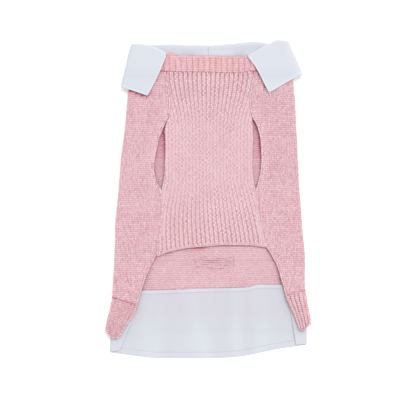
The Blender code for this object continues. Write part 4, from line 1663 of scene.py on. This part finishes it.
@dataclass
class Band:
    """A ribbed band of the tube, between its seam and its free edge, with its ribs on the belly side."""

    lay: Lay
    yarn: bpy.types.Material
    node: str
    seam: Curve
    edge: Curve
    outwards: float  # 1 where the free edge is towards the neck, -1 where it is towards the hem
    far: int  # the last place that the band reaches on the belly side
    ribs: tuple[int, int]  # on the left and on the right, as in the other pairs below
    softened: tuple[float, float]  # what is left of the relief
    flat: tuple[float, float]
    area: float
    seed: int
    variation: float  # how much the stitches differ in lightness
    closed: bool = False
    rows: int = 14
    clear_edge: float = 2.4  # room for the chain along the free edge
    clear_end: float = 0.03  # and at the band's open end, in places
    edge_level: float = -0.5
    first_groove: float = 0.12  # how far the groove beside the fold reaches on to the fold, in places
    depths: tuple[float, float] = (0.3, 0.3)  # how much painted shade the grooves get
    seam_shades: tuple[float, float] = (-1.9, -1.9)  # how deep the seam is drawn
    tones: tuple[float, float] = (0.3, 0.3)  # how light the stitches are

    def grooves(self, side: Side) -> Array:
        """Nominal distances of the rib grooves on one side, from the fold to the far place."""
        return side.value * np.linspace(travel(FOLD_HIGH), travel(self.far), self.ribs[side.index] + 1)

    def relief(self, place: Array, y: Array) -> Array:
        """Height of the relief, which fades at the bound edge.

        Args:
            place: Places to read at.
            y: Y there.

        Returns:
            The height there.
        """
        at = travel(place)
        total = np.zeros(place.shape)
        for side, left_over in zip(Side, self.softened):
            grooves = np.sort(self.grooves(side))
            profile = rib_profile((at - grooves[0]) / (grooves[1] - grooves[0]))
            on_side = (at > grooves[0]) & (at < grooves[-1])
            total = total + np.where(on_side, CLOTH.rib_relief * left_over * profile, 0.0)
        from_edge = (self.edge(at) - y) * self.outwards
        return total * (0.25 + 0.75 * smooth(from_edge / 3.0))

    def ground(self) -> bpy.types.Object:
        """Makes the shell that the stitches lie on.

        Returns:
            The new object.
        """
        places = [np.linspace(-FOLD_HIGH, FOLD_HIGH, 65)[1:-1], [-FOLD_LOW, FOLD_LOW]]
        for side in Side:
            grooves = np.sort(self.grooves(side))
            fine = grooves[:-1, None] + RIB_SHARES * (grooves[1] - grooves[0])
            places += [place_at(fine.ravel()), place_at(grooves[-1:])]
        places = np.unique(np.round(np.concatenate(places), 5))
        if self.closed:
            places = places[:-1]
        rows = spaced(0.0, 1.0, self.rows, (0.015, 0.04, 0.08))
        place = np.broadcast_to(places, (len(rows), len(places)))
        seam = self.seam(travel(place)) + self.outwards * CLOTH.seam_gap / 2
        y = seam + (self.edge(travel(place)) - seam) * rows[:, None]
        point, normal = self.lay.knit_ring(place, y)
        face, relief = on_face(place), self.relief(place, y)
        # Painted shade: the ground between stitches is deep, deeper in the grooves and beside the collar's
        # wings.
        groove = (1 - relief / CLOTH.rib_relief) * (np.abs(place) > FOLD_HIGH - self.first_groove)
        shade = -0.7 - np.where(place < 0, *self.depths) * groove - 1.2 * beside_collar(point) * face
        shell = Shell(
            f"{self.node}_ground", point, normal, low=0.0, high=CLOTH.knit - GAUGE.sunk * face + relief,
            rim=CLOTH.knit_rim, closed=self.closed, values={"shade": shade})
        return shell.build(self.yarn, Slot.RIB)

    def columns(self, side: Side, line: Array, start: float) -> tuple[Array, Array, Array, Array, Array]:
        """Places stitches in some columns of one side.

        Args:
            side: Which side.
            line: The columns' nominal distances round the tube.
            start: Where the first stitch is, in courses from the seam.

        Returns:
            Each stitch's place, its distance on the skin, its Y, its column's lean and its rib's pitch.
        """
        seam, edge = self.seam(line), self.edge(line)
        count = int(np.median(np.abs(edge - seam)) / GAUGE.course)
        row = (np.arange(count) + start) / (count + 0.4)
        y = (seam + (edge - seam) * row[:, None]).ravel()
        place = place_at(np.tile(line, count))
        kept = (y - self.edge(travel(place))) * self.outwards < -self.clear_edge
        kept &= np.abs(place) < self.far - self.clear_end
        place, y = place[kept], y[kept]
        u, above, below = (self.lay.distance_on_skin(side, place, y + step) for step in (0.0, 1.0, -1.0))
        nearby = self.lay.distance_on_skin(side, place_at(travel(place) - side.value), y)
        grooves = self.grooves(side)
        return place, u, y, (above - below) / 2, np.abs(u - nearby) * abs(grooves[1] - grooves[0])

    def stitches(self, side: Side) -> bpy.types.Object:
        """Makes one side's knit columns, the purl rows between them and the chains along the edges.

        Args:
            side: Which side.

        Returns:
            The new object.
        """
        strands = Strands(self.seed + side.value, self.variation)
        softened, tone = self.softened[side.index], self.tones[side.index]
        grooves = self.grooves(side)
        place, u, y, lean, pitch = self.columns(side, (grooves[:-1] + grooves[1:]) / 2, 0.5)
        level, wale = self.relief(place, y) - 0.5, np.clip(0.46 * pitch, 1.4, 3.2)
        # The collar's painted shadow falls on the stitches beside its wings.
        for hand in (-0.5, 0.5):
            point, _ = self.lay.skin(side)(u + hand * wale, y)
            face_stitch(strands, u + hand * wale, y + 0.4 * hand, wale, level, lean,
                        tone - 2.0 * beside_collar(point))
        _, u, y, _, pitch = self.columns(side, grooves, 0.9)
        # The purl rows in the grooves get painted shade, deeper where the ribs stand higher.
        strands.add(u, y, 0.16 * pitch, 0.0, 0.25 * GAUGE.course, -0.35 - 0.25 * softened, 0.4,
                    tone - 0.2 - 0.25 * softened)
        fold = side.value * travel(np.linspace(1.15, 1.85, 4))
        place, u, y, lean, _ = self.columns(side, fold, 0.5)
        face_stitch(strands, u, y, GAUGE.wale, self.relief(place, y) - 0.5, lean)
        self.edges(strands, side)
        name = f"{self.node}_stitches_{side.name.lower()}"
        return strands.build(name, self.lay.skin(side), self.yarn, Slot.RIB,
                             mirrored=side is Side.RIGHT)

    def edges(self, strands: Strands, side: Side) -> None:
        """Adds the bound edge, the seam, and the chain along the band's open end where it has one.

        Args:
            strands: What they are added to.
            side: Which side.
        """
        lay = self.lay
        line = np.arange(travel(1.1), travel(self.far), GAUGE.course) * side.value
        y = self.edge(line) - self.outwards * 0.9
        edge_chain(strands, lay.distance_on_skin(side, place_at(line), y), y, width=0.9,
                   level=self.edge_level, shade=-0.15)
        y = self.seam(line)
        strands.add(lay.distance_on_skin(side, place_at(line), y), y, 0.95, 0.0, 0.48, -0.4, 0.35,
                    self.seam_shades[side.index])
        if not self.closed:
            y = np.arange(self.edge(line[-1]) + 1.0, self.seam(line[-1]) - 0.5, GAUGE.course)
            arc, wrap, _ = lay.spans(side, y)
            edge_chain(strands, arc + wrap - 1.0, y)

    def build(self) -> list[bpy.types.Object]:
        """Returns:
            The band's pieces, the ground first.
        """
        ground = self.ground()
        parts = [self.stitches(side) for side in Side]
        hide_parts(self.node)
        return [ground, *parts]


# --- Shirt cloth --------------------------------------------------------------------------------


class PaintedBand(NamedTuple):
    """A soft band of painted shade along the shirt tail where it sags to the knit, and of painted light
    where it lifts.
    """

    top_x: float
    bottom_x: float
    width: float
    depth: float


TAIL_BANDS = (
    PaintedBand(-64.0, -60.0, 9.0, -0.5),
    PaintedBand(-35.0, -43.0, 8.0, 0.8),
    PaintedBand(-17.0, -4.0, 8.0, -0.8),
    PaintedBand(16.0, 14.0, 7.0, 0.9),
    PaintedBand(30.0, 33.0, 5.0, -0.5),
    PaintedBand(41.0, 44.0, 5.0, 0.6),
    PaintedBand(60.0, 58.0, 8.0, -0.6),
)
TAIL_CREASES = (
    Crease(-71.0, -110.0, -76.0, -168.0, 7.0, 0.60),
    Crease(-27.0, -102.0, -24.0, -172.0, 9.0, 0.95),
    Crease(25.0, -98.0, 22.0, -170.0, 6.5, 0.90),
    Crease(47.0, -98.0, 52.0, -158.0, 5.5, 0.60),
    Crease(74.0, -112.0, 84.0, -150.0, 5.0, 0.45),
)


# Half the thickness of a sewing thread.
THREAD_MM = 0.16


@dataclass
class ShirtTail:
    """The poplin shirt tail, sewn inside the back above its hem and folded over at the sides."""

    lay: Lay
    finishes: Finishes
    lines: Table = field(default_factory=lambda: Table(TAIL_LINE_ROWS, travel))
    sides: Table = field(default_factory=lambda: Table(TAIL_ROWS))
    drop_start: float = -2.0
    drop: float = 20.0
    fold_rise: float = 1.6
    strip: float = 4.0  # turned in along the top edge
    hem: float = 6.6  # turned up along the lower edge

    def dropped(self, x: Array, y: Array) -> Array:
        """How far the cloth has come down past the knit's hem.

        Args:
            x: Where to read, across.
            y: Where to read, along.

        Returns:
            A share, 0 on the knit and 1 on the floor.
        """
        line = self.lay.outline
        centre = (line.left_fold(y) + line.right_fold(y)) / 2
        fold = np.where(x < centre, line.left_fold(y), line.right_fold(y))
        place = np.sign(x - centre) * np.minimum((x - centre) / (fold - centre), 1.0) * FOLD_LOW
        return smooth((self.lay.hem.hem(travel(place)) - y - self.drop_start) / self.drop)

    def middle(self, place: Array, y: Array) -> tuple[Array, Array]:
        """Middle surface of the cloth.

        Args:
            place: Places to read at.
            y: Y there.

        Returns:
            The points and their outward normals.
        """
        left = place < 0
        side = self.sides
        fold_x = np.where(left, side.left_fold(y) + CLOTH.cotton / 2, side.right_fold(y) - CLOTH.cotton / 2)
        centre_x = (side.left_fold(y) + side.right_fold(y)) / 2
        on_knit = CLOTH.knit + CLOTH.layer_gap
        share = np.clip(np.abs(place), BACK, FOLD_LOW)
        low = CLOTH.cotton / 2 + on_knit * (1 - self.dropped(centre_x + (fold_x - centre_x) * share, y))
        point, normal = self.lay.ring(
            place, y, centre_x, fold_x, edge_x=np.where(left, side.left_edge(y), side.right_edge(y)),
            front_x=centre_x, low=low, high=low + self.fold_rise, over=lambda x, y: low + self.fold_rise)
        flat = 1 - smooth((np.abs(place) - 0.85) / 0.15)
        point[..., 2] += creased(TAIL_CREASES, point[..., 0], point[..., 1]) * flat
        return point, normal

    def cloth(self) -> bpy.types.Object:
        """Makes the cloth, thicker where it is turned in along its edges.

        Returns:
            The new object.
        """
        places = round_tube(8, 6, 96, (0.015, 0.04, 0.08))
        rows = spaced(0.0, 1.0, 58, (0.003, 0.007, 0.012))
        place = np.broadcast_to(places, (len(rows), len(places)))
        top, bottom = self.lines.top(travel(place)), self.lines.bottom(travel(place))
        y = top + (bottom - top) * rows[:, None]
        point, normal = self.middle(place, y)
        turned = 1 - smooth((top - y - self.strip + 0.6) / 0.6)
        turned = np.maximum(turned, 1 - smooth((y - bottom - self.hem + 0.6) / 0.6))
        facing = np.where(np.abs(place) < 1.5, -1.0, 1.0)
        thin = CLOTH.cotton / 2 - 0.3 * (1 - turned)
        low = np.where(facing < 0, -thin, -CLOTH.cotton / 2)
        high = np.where(facing < 0, CLOTH.cotton / 2, thin)
        over_knit = 1 - smooth((self.lay.hem.hem(travel(place)) - y + 8.0) / 14.0)
        over_knit = over_knit * smooth((top - y - 3.0) / 2.0) * (np.abs(place) < 1.0)
        # The tint is the pink that shows through where the tail lies over the knit, plus the soft bands of
        # painted light and shade.
        shell = Shell("tail_cloth", point, normal, low=low, high=high, rim=CLOTH.cotton_rim,
                      values={"tint": over_knit * 0.85 + self.cast(point)})
        return shell.build(self.finishes.tail, Slot.POPLIN)

    def cast(self, point: Array) -> Array:
        """Reads the soft bands of painted light and shade.

        Args:
            point: Points of the cloth.

        Returns:
            Their shade there.
        """
        share = (-98.0 - point[..., 1]) / 76.0
        shade = np.zeros(share.shape)
        for band in TAIL_BANDS:
            middle = band.top_x + (band.bottom_x - band.top_x) * share
            shade += 0.4 * band.depth * bell(point[..., 0] - middle, band.width)
        return shade

    def threads(self) -> bpy.types.Object:
        """Makes the lines of stitching along the turned edges.

        Returns:
            The new object.
        """
        strands = Strands(31, 0.05)
        place = np.linspace(-0.93, 0.93, 84)
        half = 0.36 / WRAP_MM
        for y in (self.lines.top(travel(place)) - self.strip, self.lines.bottom(travel(place)) + self.hem):
            strands.add(place, y, half, 0.0, THREAD_MM, CLOTH.cotton / 2 - 0.02, THREAD_MM, 0.0)
        return strands.build("tail_threads", self.upper, self.finishes.thread, Slot.POPLIN)

    def upper(self, place: Array, y: Array) -> tuple[Array, Array]:
        """The side of the lower layer that faces up, by place and Y."""
        point, normal = self.middle(place, y)
        return point, -normal

    def build(self) -> list[bpy.types.Object]:
        """Returns:
            The tail's pieces, the cloth first.
        """
        cloth, threads = self.cloth(), self.threads()
        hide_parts("shirt_tail")
        return [cloth, threads]


@dataclass(frozen=True)
class CollarSide:
    """How one collar half lies: its lines, and X of its fold and its front end, at the roll and the fall."""

    side: Side
    rows: tuple[CollarRow, ...]
    fold_at_roll: float
    fold_at_fall: float
    end_at_roll: float
    end_at_fall: float
    bow: float
    bow_high: float  # how far up the bow is deepest: at 1 in the middle, at more nearer to the roll
    creases: tuple[Crease, ...]


LEFT_COLLAR = CollarSide(
    Side.LEFT, LEFT_COLLAR_ROWS, -85.4, -96.3, -45.9, -66.6, 1.3, 1.0, (
        Crease(-46.0, 160.0, -64.0, 170.0, 3.0, 0.5),
        Crease(-92.0, 122.0, -70.0, 150.0, 9.0, 0.25),
        Crease(-66.0, 114.0, -62.0, 122.0, 8.0, 0.7),
    ))
RIGHT_COLLAR = CollarSide(
    Side.RIGHT, RIGHT_COLLAR_ROWS, 89.4, 104.6, 43.5, 66.6, -1.9, 2.0, (
        Crease(43.0, 159.0, 70.0, 171.0, 3.0, 0.6),
        Crease(100.0, 138.0, 80.0, 152.0, 9.0, 0.2),
        Crease(66.0, 117.0, 63.0, 126.0, 9.0, 0.8),
    ))


@dataclass
class CollarHalf:
    """Half of the shirt collar: its stand in the neck, its roll over the band and its fall outside."""

    lay: Lay
    finishes: Finishes
    half: CollarSide
    roll_radius: float = 2.6
    stand_back: float = 4.5
    stand_front: float = 5.95
    rib_cover_start: float = 131.0
    rib_cover: float = 8.0
    stitch_inset: float = 2.6
    fall_mm: float = 46.0
    front_mm: float = 38.0  # from the side fold to the front end, at the fall's edge
    lines: Table = field(init=False)

    def __post_init__(self) -> None:
        """Makes the half's curves."""
        self.lines = Table(self.half.rows, travel)

    def base(self, at: Array) -> Array:
        """Y of the roll's centre line, by nominal distance."""
        return self.lines.roll(at) - self.roll_radius - CLOTH.cotton / 2

    def over_knit(self, x: Array, y: Array) -> Array:
        """Middle height of the fall, which lies on the wraps and on the band's ribs."""
        ribs = CLOTH.rib_relief * smooth((y - self.rib_cover_start) / self.rib_cover)
        return self.lay.underside(x, y) + CLOTH.knit + ribs + CLOTH.layer_gap + CLOTH.cotton / 2

    def stand(self, place: Array, y: Array) -> tuple[Array, Array]:
        """Middle surface of the stand, inside the neck band.

        Args:
            place: Places to read at.
            y: Y there.

        Returns:
            The points and their outward normals.
        """
        sign, line = self.half.side.value, self.lay.outline
        inwards = sign * (CLOTH.knit + CLOTH.layer_gap + CLOTH.cotton / 2)
        fold = line.left_fold(y) if sign < 0 else line.right_fold(y)
        return self.lay.ring(
            place, y, centre_x=sign * CLOTH.seam_gap / 2, fold_x=fold - inwards,
            edge_x=self.half.end_at_roll, front_x=self.half.end_at_roll,
            low=self.stand_back, high=self.stand_front, over=lambda x, y: self.stand_front + 0 * x)

    def fall(self, place: Array, y: Array, share: Array | float) -> tuple[Array, Array]:
        """Middle surface of the fall, outside the knit.

        Args:
            place: Places to read at.
            y: Y there.
            share: The share of the fall's length there, from 0 at the roll.

        Returns:
            The points and their outward normals.
        """
        half, sign = self.half, self.half.side.value
        fold_x = half.fold_at_roll + (half.fold_at_fall - half.fold_at_roll) * share
        end_x = half.end_at_roll + (half.end_at_fall - half.end_at_roll) * share
        high = half.bow_high
        most = high**high / (1 + high) ** (1 + high)
        end_x = end_x - sign * half.bow * share * (1 - share) ** high / most
        fold_x = fold_x - sign * CLOTH.cotton / 2
        point, normal = self.lay.ring(
            place, y, centre_x=sign * CLOTH.seam_gap / 2, fold_x=fold_x, edge_x=end_x, front_x=end_x,
            low=CLOTH.cotton / 2 + 0 * y, high=self.over_knit(fold_x, y), over=self.over_knit)
        free = smooth((np.abs(place) - FOLD_HIGH) / 0.2) * smooth(np.asarray(share) / 0.12)
        point[..., 2] += creased(self.half.creases, point[..., 0], point[..., 1]) * free
        return point, normal

    def cloth(self) -> bpy.types.Object:
        """Makes the cloth, up the stand, over the roll and down the fall.

        Returns:
            The new object.
        """
        sign, lines = self.half.side.value, self.lines
        places = np.concatenate([
            spaced(BACK, FOLD_LOW, 40, (0.003, 0.007, 0.012))[:-4], np.linspace(FOLD_LOW, FOLD_HIGH, 9)[:-1],
            spaced(FOLD_HIGH, EDGE, 26, (0.008, 0.018, 0.03))[4:]])
        places = np.unique(np.append(places, [1.0, 2.0]))
        at = travel(places)
        base = self.base(at)
        middle, normal, tint = [], [], []
        for share in np.concatenate([[0.0, 0.02, 0.05, 0.1], np.linspace(0.2, 1.0, 7)[:-1]]):
            y = base - lines.stand(at) * (1 - share)
            point, outwards = self.stand(sign * places, y)
            middle.append(point)
            normal.append(-outwards)
            tint.append(self.shows_through(point))
        inside, _ = self.stand(sign * places, base)
        outside, outwards = self.fall(sign * places, base, 0.0)
        for angle in np.linspace(0.0, np.pi, 11):
            point = inside + (outside - inside) * (1 - np.cos(angle)) / 2
            point[:, 1] += self.roll_radius * np.sin(angle)
            middle.append(point)
            normal.append(-np.cos(angle) * outwards + np.sin(angle) * np.array([0.0, 1.0, 0.0]))
            # Over the roll the stand's painted shade fades out.
            tint.append(0.4 * self.shows_through(point) * (1 - angle / np.pi))
        for share in np.concatenate([np.linspace(0.0, 1.0, 30)[1:-1], [0.98, 0.99, 0.996, 1.0]]):
            y = base + (lines.fall(at) - base) * share
            point, outwards = self.fall(sign * places, y, share)
            middle.append(point)
            normal.append(outwards)
            inset = np.minimum((1 - share) * (base - lines.fall(at)), (EDGE - places) * WRAP_MM)
            tint.append(-0.9 * (1 - smooth((inset - self.stitch_inset + 0.3) / 0.8)) * (places > FOLD_LOW))
        shell = Shell(
            f"collar_cloth_{self.half.side.name.lower()}", np.array(middle), np.array(normal),
            low=-CLOTH.cotton / 2, high=CLOTH.cotton / 2, rim=CLOTH.cotton_rim,
            values={"tint": np.array(tint)})
        return shell.build(self.finishes.collar, Slot.POPLIN)

    def shows_through(self, point: Array) -> Array:
        """Painted shade high on the inner stand, a lighter tone lower down, and the pink neck band showing
        through there in two soft patches.
        """
        patches = bell(point[..., 0] + 20.0, 14.0) + 0.9 * bell(point[..., 0] - 34.0, 9.0)
        return 0.22 + (0.55 * patches - 0.4) * smooth((166.0 - point[..., 1]) / 6.0)

    def threads(self) -> bpy.types.Object:
        """Makes the line of stitching inside the fall's edges.

        Returns:
            The new object.
        """
        sign, last = self.half.side.value, 1.0 - self.stitch_inset / self.fall_mm
        place, share = np.linspace(2.05, 2.93, 24), np.linspace(0.08, last, 18)
        level = CLOTH.cotton / 2 - 0.02
        strands = Strands(41 + sign, 0.03)
        strands.add(place, last, 0.012, 0.0, 0.005, level, THREAD_MM)
        strands.add(EDGE - self.stitch_inset / self.front_mm, share, 0.0, 0.012, 0.005, level, THREAD_MM)

        def surface(place: Array, share: Array) -> tuple[Array, Array]:
            """The fall's face by place and share."""
            base, end = self.base(travel(place)), self.lines.fall(travel(place))
            return self.fall(sign * place, base + (end - base) * share, share)

        name = f"collar_threads_{self.half.side.name.lower()}"
        return strands.build(name, surface, self.finishes.thread, Slot.POPLIN)

    def build(self) -> list[bpy.types.Object]:
        """Returns:
            The half's pieces, the cloth first.
        """
        cloth, threads = self.cloth(), self.threads()
        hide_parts(f"collar_{self.half.side.name.lower()}")
        return [cloth, threads]


# --- Studio -------------------------------------------------------------------------------------


@dataclass
class Studio:
    """A white floor, soft light from above and a camera that looks straight down."""

    floor_mm: float = 6000.0
    floor_under: float = 0.15
    glow: float = 0.16
    sky: float = 0.86
    key_strength: float = 1.2
    key_from: tuple[float, float, float] = (0.32, 0.55, 1.0)
    key_spread: float = 0.45
    camera_mm: tuple[float, float, float] = (-0.2, -9.5, 1800.0)
    view_mm: float = 457.6
    sensor_mm: float = 36.0

    def floor(self) -> None:
        """Makes the floor of matt white paper, lit through from below, which leaves only faint shadows."""
        half = self.floor_mm / 2 * MILLIMETRE
        corners = [(-half, -half, 0), (half, -half, 0), (half, half, 0), (-half, half, 0)]
        data = bpy.data.meshes.new("studio_floor")
        data.from_pydata(corners, [], [(0, 1, 2, 3)])
        paper, _, shader = new_material("matt_white_paper")
        feed(shader, {
            "Base Color": linear("FDFDFD"), "Roughness": 1.0, "Specular IOR Level": 0.0,
            "Emission Color": linear("FFFEFC"), "Emission Strength": self.glow})
        data.materials.append(paper)
        made = bpy.data.objects.new("studio_floor", data)
        made.location.z = -self.floor_under * MILLIMETRE
        bpy.context.scene.collection.objects.link(made)

    def light(self) -> None:
        """Makes the even sky and the soft key light from the neck's right."""
        world = bpy.data.worlds.new("white_sky")
        world.use_nodes = True
        feed(world.node_tree.nodes["Background"], {"Color": linear("FFFFFF"), "Strength": self.sky})
        bpy.context.scene.world = world
        lamp = bpy.data.lights.new("key", "SUN")
        lamp.angle = self.key_spread
        lamp.energy = self.key_strength
        made = bpy.data.objects.new("key", lamp)
        made.location = self.key_from
        made.rotation_euler = (-made.location).to_track_quat("-Z", "Y").to_euler()
        bpy.context.scene.collection.objects.link(made)

    def camera(self) -> None:
        """Makes the camera, whose view is as wide as the photograph."""
        data = bpy.data.cameras.new("camera")
        data.sensor_width = self.sensor_mm
        data.lens = self.sensor_mm * self.camera_mm[2] / self.view_mm
        data.clip_start, data.clip_end = 0.01, 20.0
        made = bpy.data.objects.new("camera", data)
        made.location = [value * MILLIMETRE for value in self.camera_mm]
        bpy.context.scene.collection.objects.link(made)
        bpy.context.scene.camera = made

    def build(self) -> None:
        """Makes the floor, the lights and the camera, and shows light as a plain camera does."""
        bpy.context.scene.view_settings.view_transform = "Standard"
        self.floor()
        self.light()
        self.camera()


def main() -> None:
    """Builds the studio and the garment's pieces, and reports each one."""
    logging.basicConfig(level=logging.INFO, format="%(name)s: %(message)s")
    Studio().build()
    lay = Lay()
    finishes = Finishes(
        stockinette=WoolYarn(deep="D4A1AD", light="F8E8EA", heather=0.11).material("stockinette_wool_blend"),
        rib=WoolYarn(deep="D7A5B0", light="FBE8EA").material("rib_wool_blend"),
        band=WoolYarn(deep="DBA3AA", light="FCE0E3").material("band_wool_blend"),
        cuff=WoolYarn(deep="D4A0AA", light="F6E3E6").material("cuff_wool_blend"),
        # The collar's through colour also paints shade on its inner stand.
        collar=Poplin(white="D1D5DD", through="B8B3BE", uneven=(0.994, 1.003), rumple=0.1).material(
            "white_cotton_collar_poplin"),
        tail=Poplin(white="CED1D8", through="CCCAD2", uneven=(0.985, 1.008),
                    rumple_mm=(13.0, 55.0, 40.0)).material("white_cotton_tail_poplin"),
        # The thread is darker than the cloth, as painted shade along its stitch lines.
        thread=Poplin(white="BCC2CF", thread_mm=0.4).material("white_cotton_thread"),
    )
    neck = Band(
        lay, finishes.band, "neck_band", lay.neck.seam, lay.neck.top, outwards=1.0, far=FRONT,
        ribs=(14, 14), softened=(1.0, 1.0), flat=(0.352, 0.019), area=0.0064, seed=51, variation=0.28,
        closed=True, rows=10, clear_edge=1.5, clear_end=0.0, edge_level=-0.6)
    hem = Band(
        lay, finishes.cuff, "hem_band", lay.hem.seam, lay.hem.hem, outwards=-1.0, far=EDGE,
        ribs=(6, 4), softened=(0.3, 1.0), flat=(0.270, 0.037), area=0.0092, seed=61, variation=0.36,
        depths=(0.45, 1.3), seam_shades=(-1.5, -0.3), tones=(-0.05, 0.65))
    garment = (
        BackPanel(lay, finishes), BellyPanel(lay, finishes), neck, hem, ShirtTail(lay, finishes),
        CollarHalf(lay, finishes, LEFT_COLLAR), CollarHalf(lay, finishes, RIGHT_COLLAR))
    for section in garment:
        for piece in section.build():
            LOG.info("%s: %d points", piece.name, len(piece.data.vertices))


if __name__ == "__main__":
    main()
